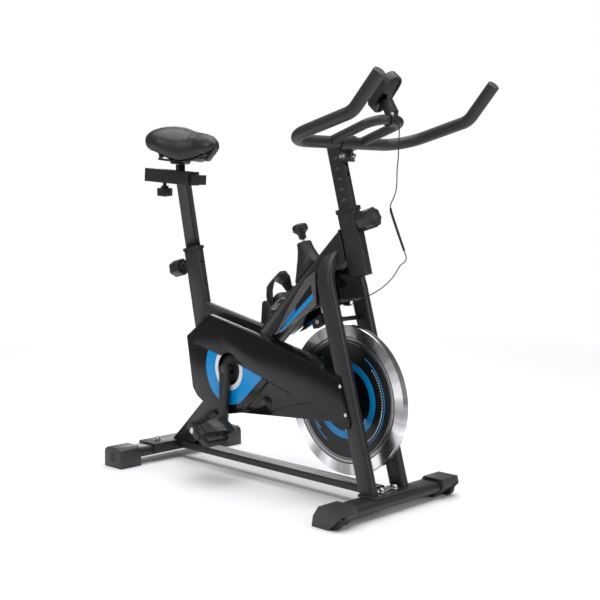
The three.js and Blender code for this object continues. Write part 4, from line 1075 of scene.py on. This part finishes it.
def dress_pedal(side):
    place = pedal_place(side)
    body = f"pedal_{side}"
    dressed(f"pedal_body_{side}", moulding, 2.0, 3)
    strap = settled(strap_band(place, strap_path(0, 1, 40), 3.0), [rounded(0.8)])
    panel = settled(strap_band(place, strap_path(0.36, 0.8, 16, 2.8, 0.62), 1.2), [rounded(0.6)])
    keep(joined([strap, panel]), f"strap_{side}", body, moulding, [f"pedal_strap_{side}"], 35)
    # Painted shade: thin dark bands laid on the strap's surface stand for the shade in its slots.
    slot_shade_bands = []
    for share in (0.08, 0.14, 0.20, 0.26, 0.32):
        slot_shade_bands.append(strap_band(place, strap_path(share, share + 0.022, 1, 2.8, 0.5), 0.5))
    keep(joined(slot_shade_bands), f"strap_slot_shade_{side}", body, dark_moulding_and_shade)
    frame_bars = [
        settled(strap_band(place, strap_path(share, share + 0.03, 2, 2.6, 1.25), 3.4), [rounded(0.8)])
        for share in (0.10, 0.22)
    ]
    keep(joined(frame_bars), f"buckle_{side}", body, moulding)
    corners = [(-26, -8), (-8, -8), (-8, 7), (-26, 7)]
    back = [place(x, 43.5, z) for x, z in corners]
    front = [place(x * 0.98 - 0.4, 46.0, z * 0.9) for x, z in corners]
    keep(lofted([back, front]), f"reflector_{side}", body, reflector_paint)


for side in ("right", "left"):
    dress_pedal(side)

cap_profile = [(0, -1), (9.5, -1), (9.5, 1.2), (8, 2.6), (3.2, 3.0), (3.0, 1.8), (0, 1.8)]
for side, sign in (("right", -1), ("left", 1)):
    cap = turned(cap_profile, (CRANK.x, sign * 84.5, CRANK.z), (0, sign, 0), 32)
    keep(cap, f"crank_cap_{side}", "crank", grey_cap, smooth=30)


# ---------------------------------------------------------------- handlebar
# A bent steel tube with a smaller loop welded on, coated matt black, with plastic plugs in
# its ends. A steel clamp with two bolts holds it on its post.
bar_coat = coated("bar_coat", "bar_coat", 0.022, 0.45, 400.0, 0.00001)
BAR_HALF = 224
GRIP = Vector((559.6, BAR_HALF - 3, 1082.8))
ELBOW = Vector((480.8, BAR_HALF, 997.6))
CROSS = Vector((256, BAR_HALF, 941.5))


def mirrored(points):
    return [Vector((p.x, -p.y, p.z)) for p in points]


bar_left = [GRIP, ELBOW, CROSS]
bar_line = bent(bar_left + mirrored(bar_left)[::-1], [60, 80, 80, 60], 14)
loop_left = [Vector((246, 58, 940.5)), Vector((408, 58, 993))]
loop_line = bent(loop_left + mirrored(loop_left)[::-1], [43, 43], 14)
bar_tubes = joined([tube(bar_line, 16, 40), tube(loop_line, 12.5, 32)])
keep(bar_tubes, "handlebar_tubes", "bar", bar_coat, ["handlebar"], 35)
dressed("bar_clamp", powder_coat, 0.8)
plugs = []
plug = [(0, -2), (15.2, -2), (15.2, 0.2), (14.2, 1.2), (11.5, 1.4), (11.2, 0.9), (0, 0.9)]
for sign in (1, -1):
    end = Vector((GRIP.x, sign * GRIP.y, GRIP.z))
    out = (end - Vector((ELBOW.x, sign * ELBOW.y, ELBOW.z))).normalized()
    plugs.append(turned(plug, end, out, 40))
keep(joined(plugs), "bar_plugs", "bar", grey_cap, smooth=30)
clamp_bolts = [on_head(141, 33.5, y) for y in (-20.5, 20.5)]
screws("clamp_bolts", "bar", clamp_bolts, HEAD_FORWARD, 6.2, 7.0, steel)


# ---------------------------------------------------------------- console
# A small battery computer in a moulded case on a stem and clamp. Its back cover is held by
# one screw; its face has a window over the display and a red rubber button.
red_key = Finish("red_key", "button_plastic", Roughness=0.5)
dye = red_key.blend(red_key.noise(500.0), (0.3, 0.02, 0.02, 1), (0.4, 0.04, 0.03, 1))
red_key.feed("Base Color", dye)
dressed("console", moulding, 4.0, 4)
dressed("console_button", red_key, 0.6)
CONSOLE = Vector((387, 0, 1063))
CONSOLE_TILT = math.radians(50)
CONSOLE_LONG = Vector((math.cos(CONSOLE_TILT), 0, math.sin(CONSOLE_TILT)))
CONSOLE_FACE = Vector((-math.sin(CONSOLE_TILT), 0, math.cos(CONSOLE_TILT)))


def console_plate(outline, low, high, edge):
    """A plate on the console: outline is (along, across), low and high are heights."""
    rings = [
        [CONSOLE + CONSOLE_LONG * a + Vector((0, b, 0)) + CONSOLE_FACE * height for a, b in outline]
        for height in (low, high)
    ]
    return settled(lofted(rings), [rounded(edge)])


glass = coated("display_glass", "gloss_cover", 0.02, 0.12, 30.0, 0.00001, Coat_Weight=0.6)
lcd = coated("display_panel", "grey_trim", 0.22, 0.2, 200.0, 0.00001)
back_cover = [
    console_plate(stadium_outline((0, 0), 27, 22, 0), -13.2, -11.0, 0.8),
    console_plate(arc((-24, 0), 9, 0, 345, 24), -17.0, -12.5, 1.0),
]
keep(joined(back_cover), "console_back", "bar", gloss_black)
for name, finish, outline, low, high, edge in (
    ("socket", grey_cap, arc((36, 8), 3.2, 0, 345, 16), -13.6, -12.8, 0.2),
    ("screw", steel, arc((-24, 0), 4, 0, 345, 20), -17.8, -16.5, 0.3),
    ("window", glass, stadium_outline((12, 0), 20, 20, 0), 11.0, 12.9, 0.5),
    ("display", lcd, [(-6, -12), (30, -12), (30, 12), (-6, 12)], 12.0, 13.2, 0.3),
):
    keep(console_plate(outline, low, high, edge), f"console_{name}", "bar", finish)
stem_line = [(371, 0, 1041), (386, 0, 1030), (400, 0, 1012)]
keep(tube(stem_line, [9, 8, 9], 16), "console_stem", "bar", moulding)
screws("clamp_screw", "bar", [(421, -11.2, 1006)], (0, -1, 0), 4.2, 3.0, steel)


# ---------------------------------------------------------------- saddle
# Foam on a moulded plastic pan under a stretched vinyl cover, on two steel rails held by a
# steel clamp. A small plastic flap closes the underside at the nose.
vinyl = Finish("vinyl", "saddle_vinyl")
vinyl_grain = vinyl.node("ShaderNodeTexVoronoi", inputs={"Vector": vinyl.place(), "Scale": 900.0})
vinyl_drift = vinyl.noise(12.0, 3.0)
vinyl.feed("Base Color", vinyl.blend(vinyl_drift, grey(0.017), grey(0.022)))
vinyl.feed("Roughness", 0.38 + (vinyl_drift - 0.5) * 0.1)
vinyl.relief(vinyl_grain, 0.00005)
dressed("saddle_rails", powder_coat)
dressed("saddle_clamp", powder_coat, 0.8)

SADDLE_STATIONS = [
    # x, half width, top, skirt's lower edge
    (-504, 58, 990, 955), (-498, 74, 999, 948), (-486, 85, 1006, 944), (-468, 91, 1012, 940),
    (-448, 91.5, 1014, 935), (-425, 86, 1013, 924), (-400, 72, 1008, 912), (-375, 55, 1001.5, 905),
    (-350, 41, 996, 906), (-325, 32, 992.5, 912), (-300, 27, 989.5, 919), (-276, 23, 983, 927),
    (-259, 17, 972, 937), (-250, 9, 961, 945),
]


def saddle_shell():
    """Cross sections from tail to nose: domed above, with a skirt round a hollow underside."""
    rings = []
    for x, half, top, skirt in SADDLE_STATIONS:
        deep = top - skirt
        hollow = min(9.0, deep * 0.28)
        side = []
        for k in range(13):
            a = math.radians(90 - 90 * k / 12)
            y = half * math.cos(a) ** 0.86
            side.append((y, skirt + deep * 0.42 + deep * 0.58 * math.sin(a) ** 0.92))
        skirt_line = [(0.985, deep * 0.28), (0.93, deep * 0.12), (0.86, 0)]
        under_line = [(0.76, hollow * 0.6), (0.5, hollow), (0.2, hollow)]
        side += [(half * share, skirt + rise) for share, rise in skirt_line + under_line]
        ring = side + [(-y, z) for y, z in side[::-1] if y > 1e-6]
        rings.append([(x, y, z) for y, z in ring])
    return lofted(rings)


def saddle_pan():
    """The moulded pan under the foam, following the skirt just inside it."""
    rings = []
    for x, half, _, skirt in SADDLE_STATIONS[2:-2]:
        rim = [(-0.8, 2.0), (-0.74, 5.5), (-0.3, 8.5), (0.3, 8.5), (0.74, 5.5), (0.8, 2.0)]
        under = [(0.72, 1.5), (0.3, 4.0), (-0.3, 4.0), (-0.72, 1.5)]
        rings.append([(x, half * y, skirt + z) for y, z in rim + under])
    return lofted(rings)


sockets = [
    tube([(x, y, 921), (x, y, z)], [7, 9], 16)
    for x, y, z in ((-476, 30, 944), (-476, -30, 944), (-318, 12, 922), (-318, -12, 922))
]
keep(joined([saddle_pan(), *sockets]), "saddle_pan", "saddle", moulding, ["saddle_base"], 35)
flap = prism([(-252, 949), (-250, 945), (-266, 929), (-294, 906), (-298, 911), (-271, 934)], -9, 9)
keep(settled(flap, [rounded(1.5, 3)]), "nose_flap", "saddle", moulding)


def puffed(mesh, voxel, cap):
    """The mesh swollen by air pressure as cloth, no point moving more than cap."""
    holder = shown("puffing", mesh)
    remesh = holder.modifiers.new("remesh", "REMESH")
    remesh.mode = "VOXEL"
    remesh.voxel_size = voxel * MM
    even = evaluated_mesh(holder)
    holder.modifiers.clear()
    holder.data = even
    start = [v.co.copy() for v in even.vertices]
    cloth = holder.modifiers.new("cloth", "CLOTH")
    cloth.settings.use_pressure = True
    cloth.settings.uniform_pressure_force = 4.0
    cloth.settings.effector_weights.gravity = 0.0
    cloth.settings.quality = 6
    scene = bpy.context.scene
    for number in range(1, 21):
        scene.frame_set(number)
    result = evaluated_mesh(holder)
    for vertex, before in zip(result.vertices, start):
        move = vertex.co - before
        if move.length > cap * MM:
            vertex.co = before + move.normalized() * cap * MM
    bpy.data.objects.remove(holder)
    scene.frame_set(1)
    return result


cushion_mesh = saddle_shell()
cushion_mesh = puffed(cushion_mesh, 4, 4)
cushion_mesh = settled(cushion_mesh, [("SMOOTH", {"iterations": 6, "factor": 0.5}),
                                      ("SUBSURF", {"levels": 1, "render_levels": 1})])
cushion_mesh.materials.clear()
cushion = keep(cushion_mesh, "saddle_pad", "saddle", vinyl, ["saddle_cushion"], 80)


# ---------------------------------------------------------------- sizes and end
# The sizes of the solid model and of the dressed one, in one record, and the end of the work.
sizes = {"cad": cad_bounds, "visual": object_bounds()}
{key: [list(corner) for corner in corners] for key, corners in sizes.items()}
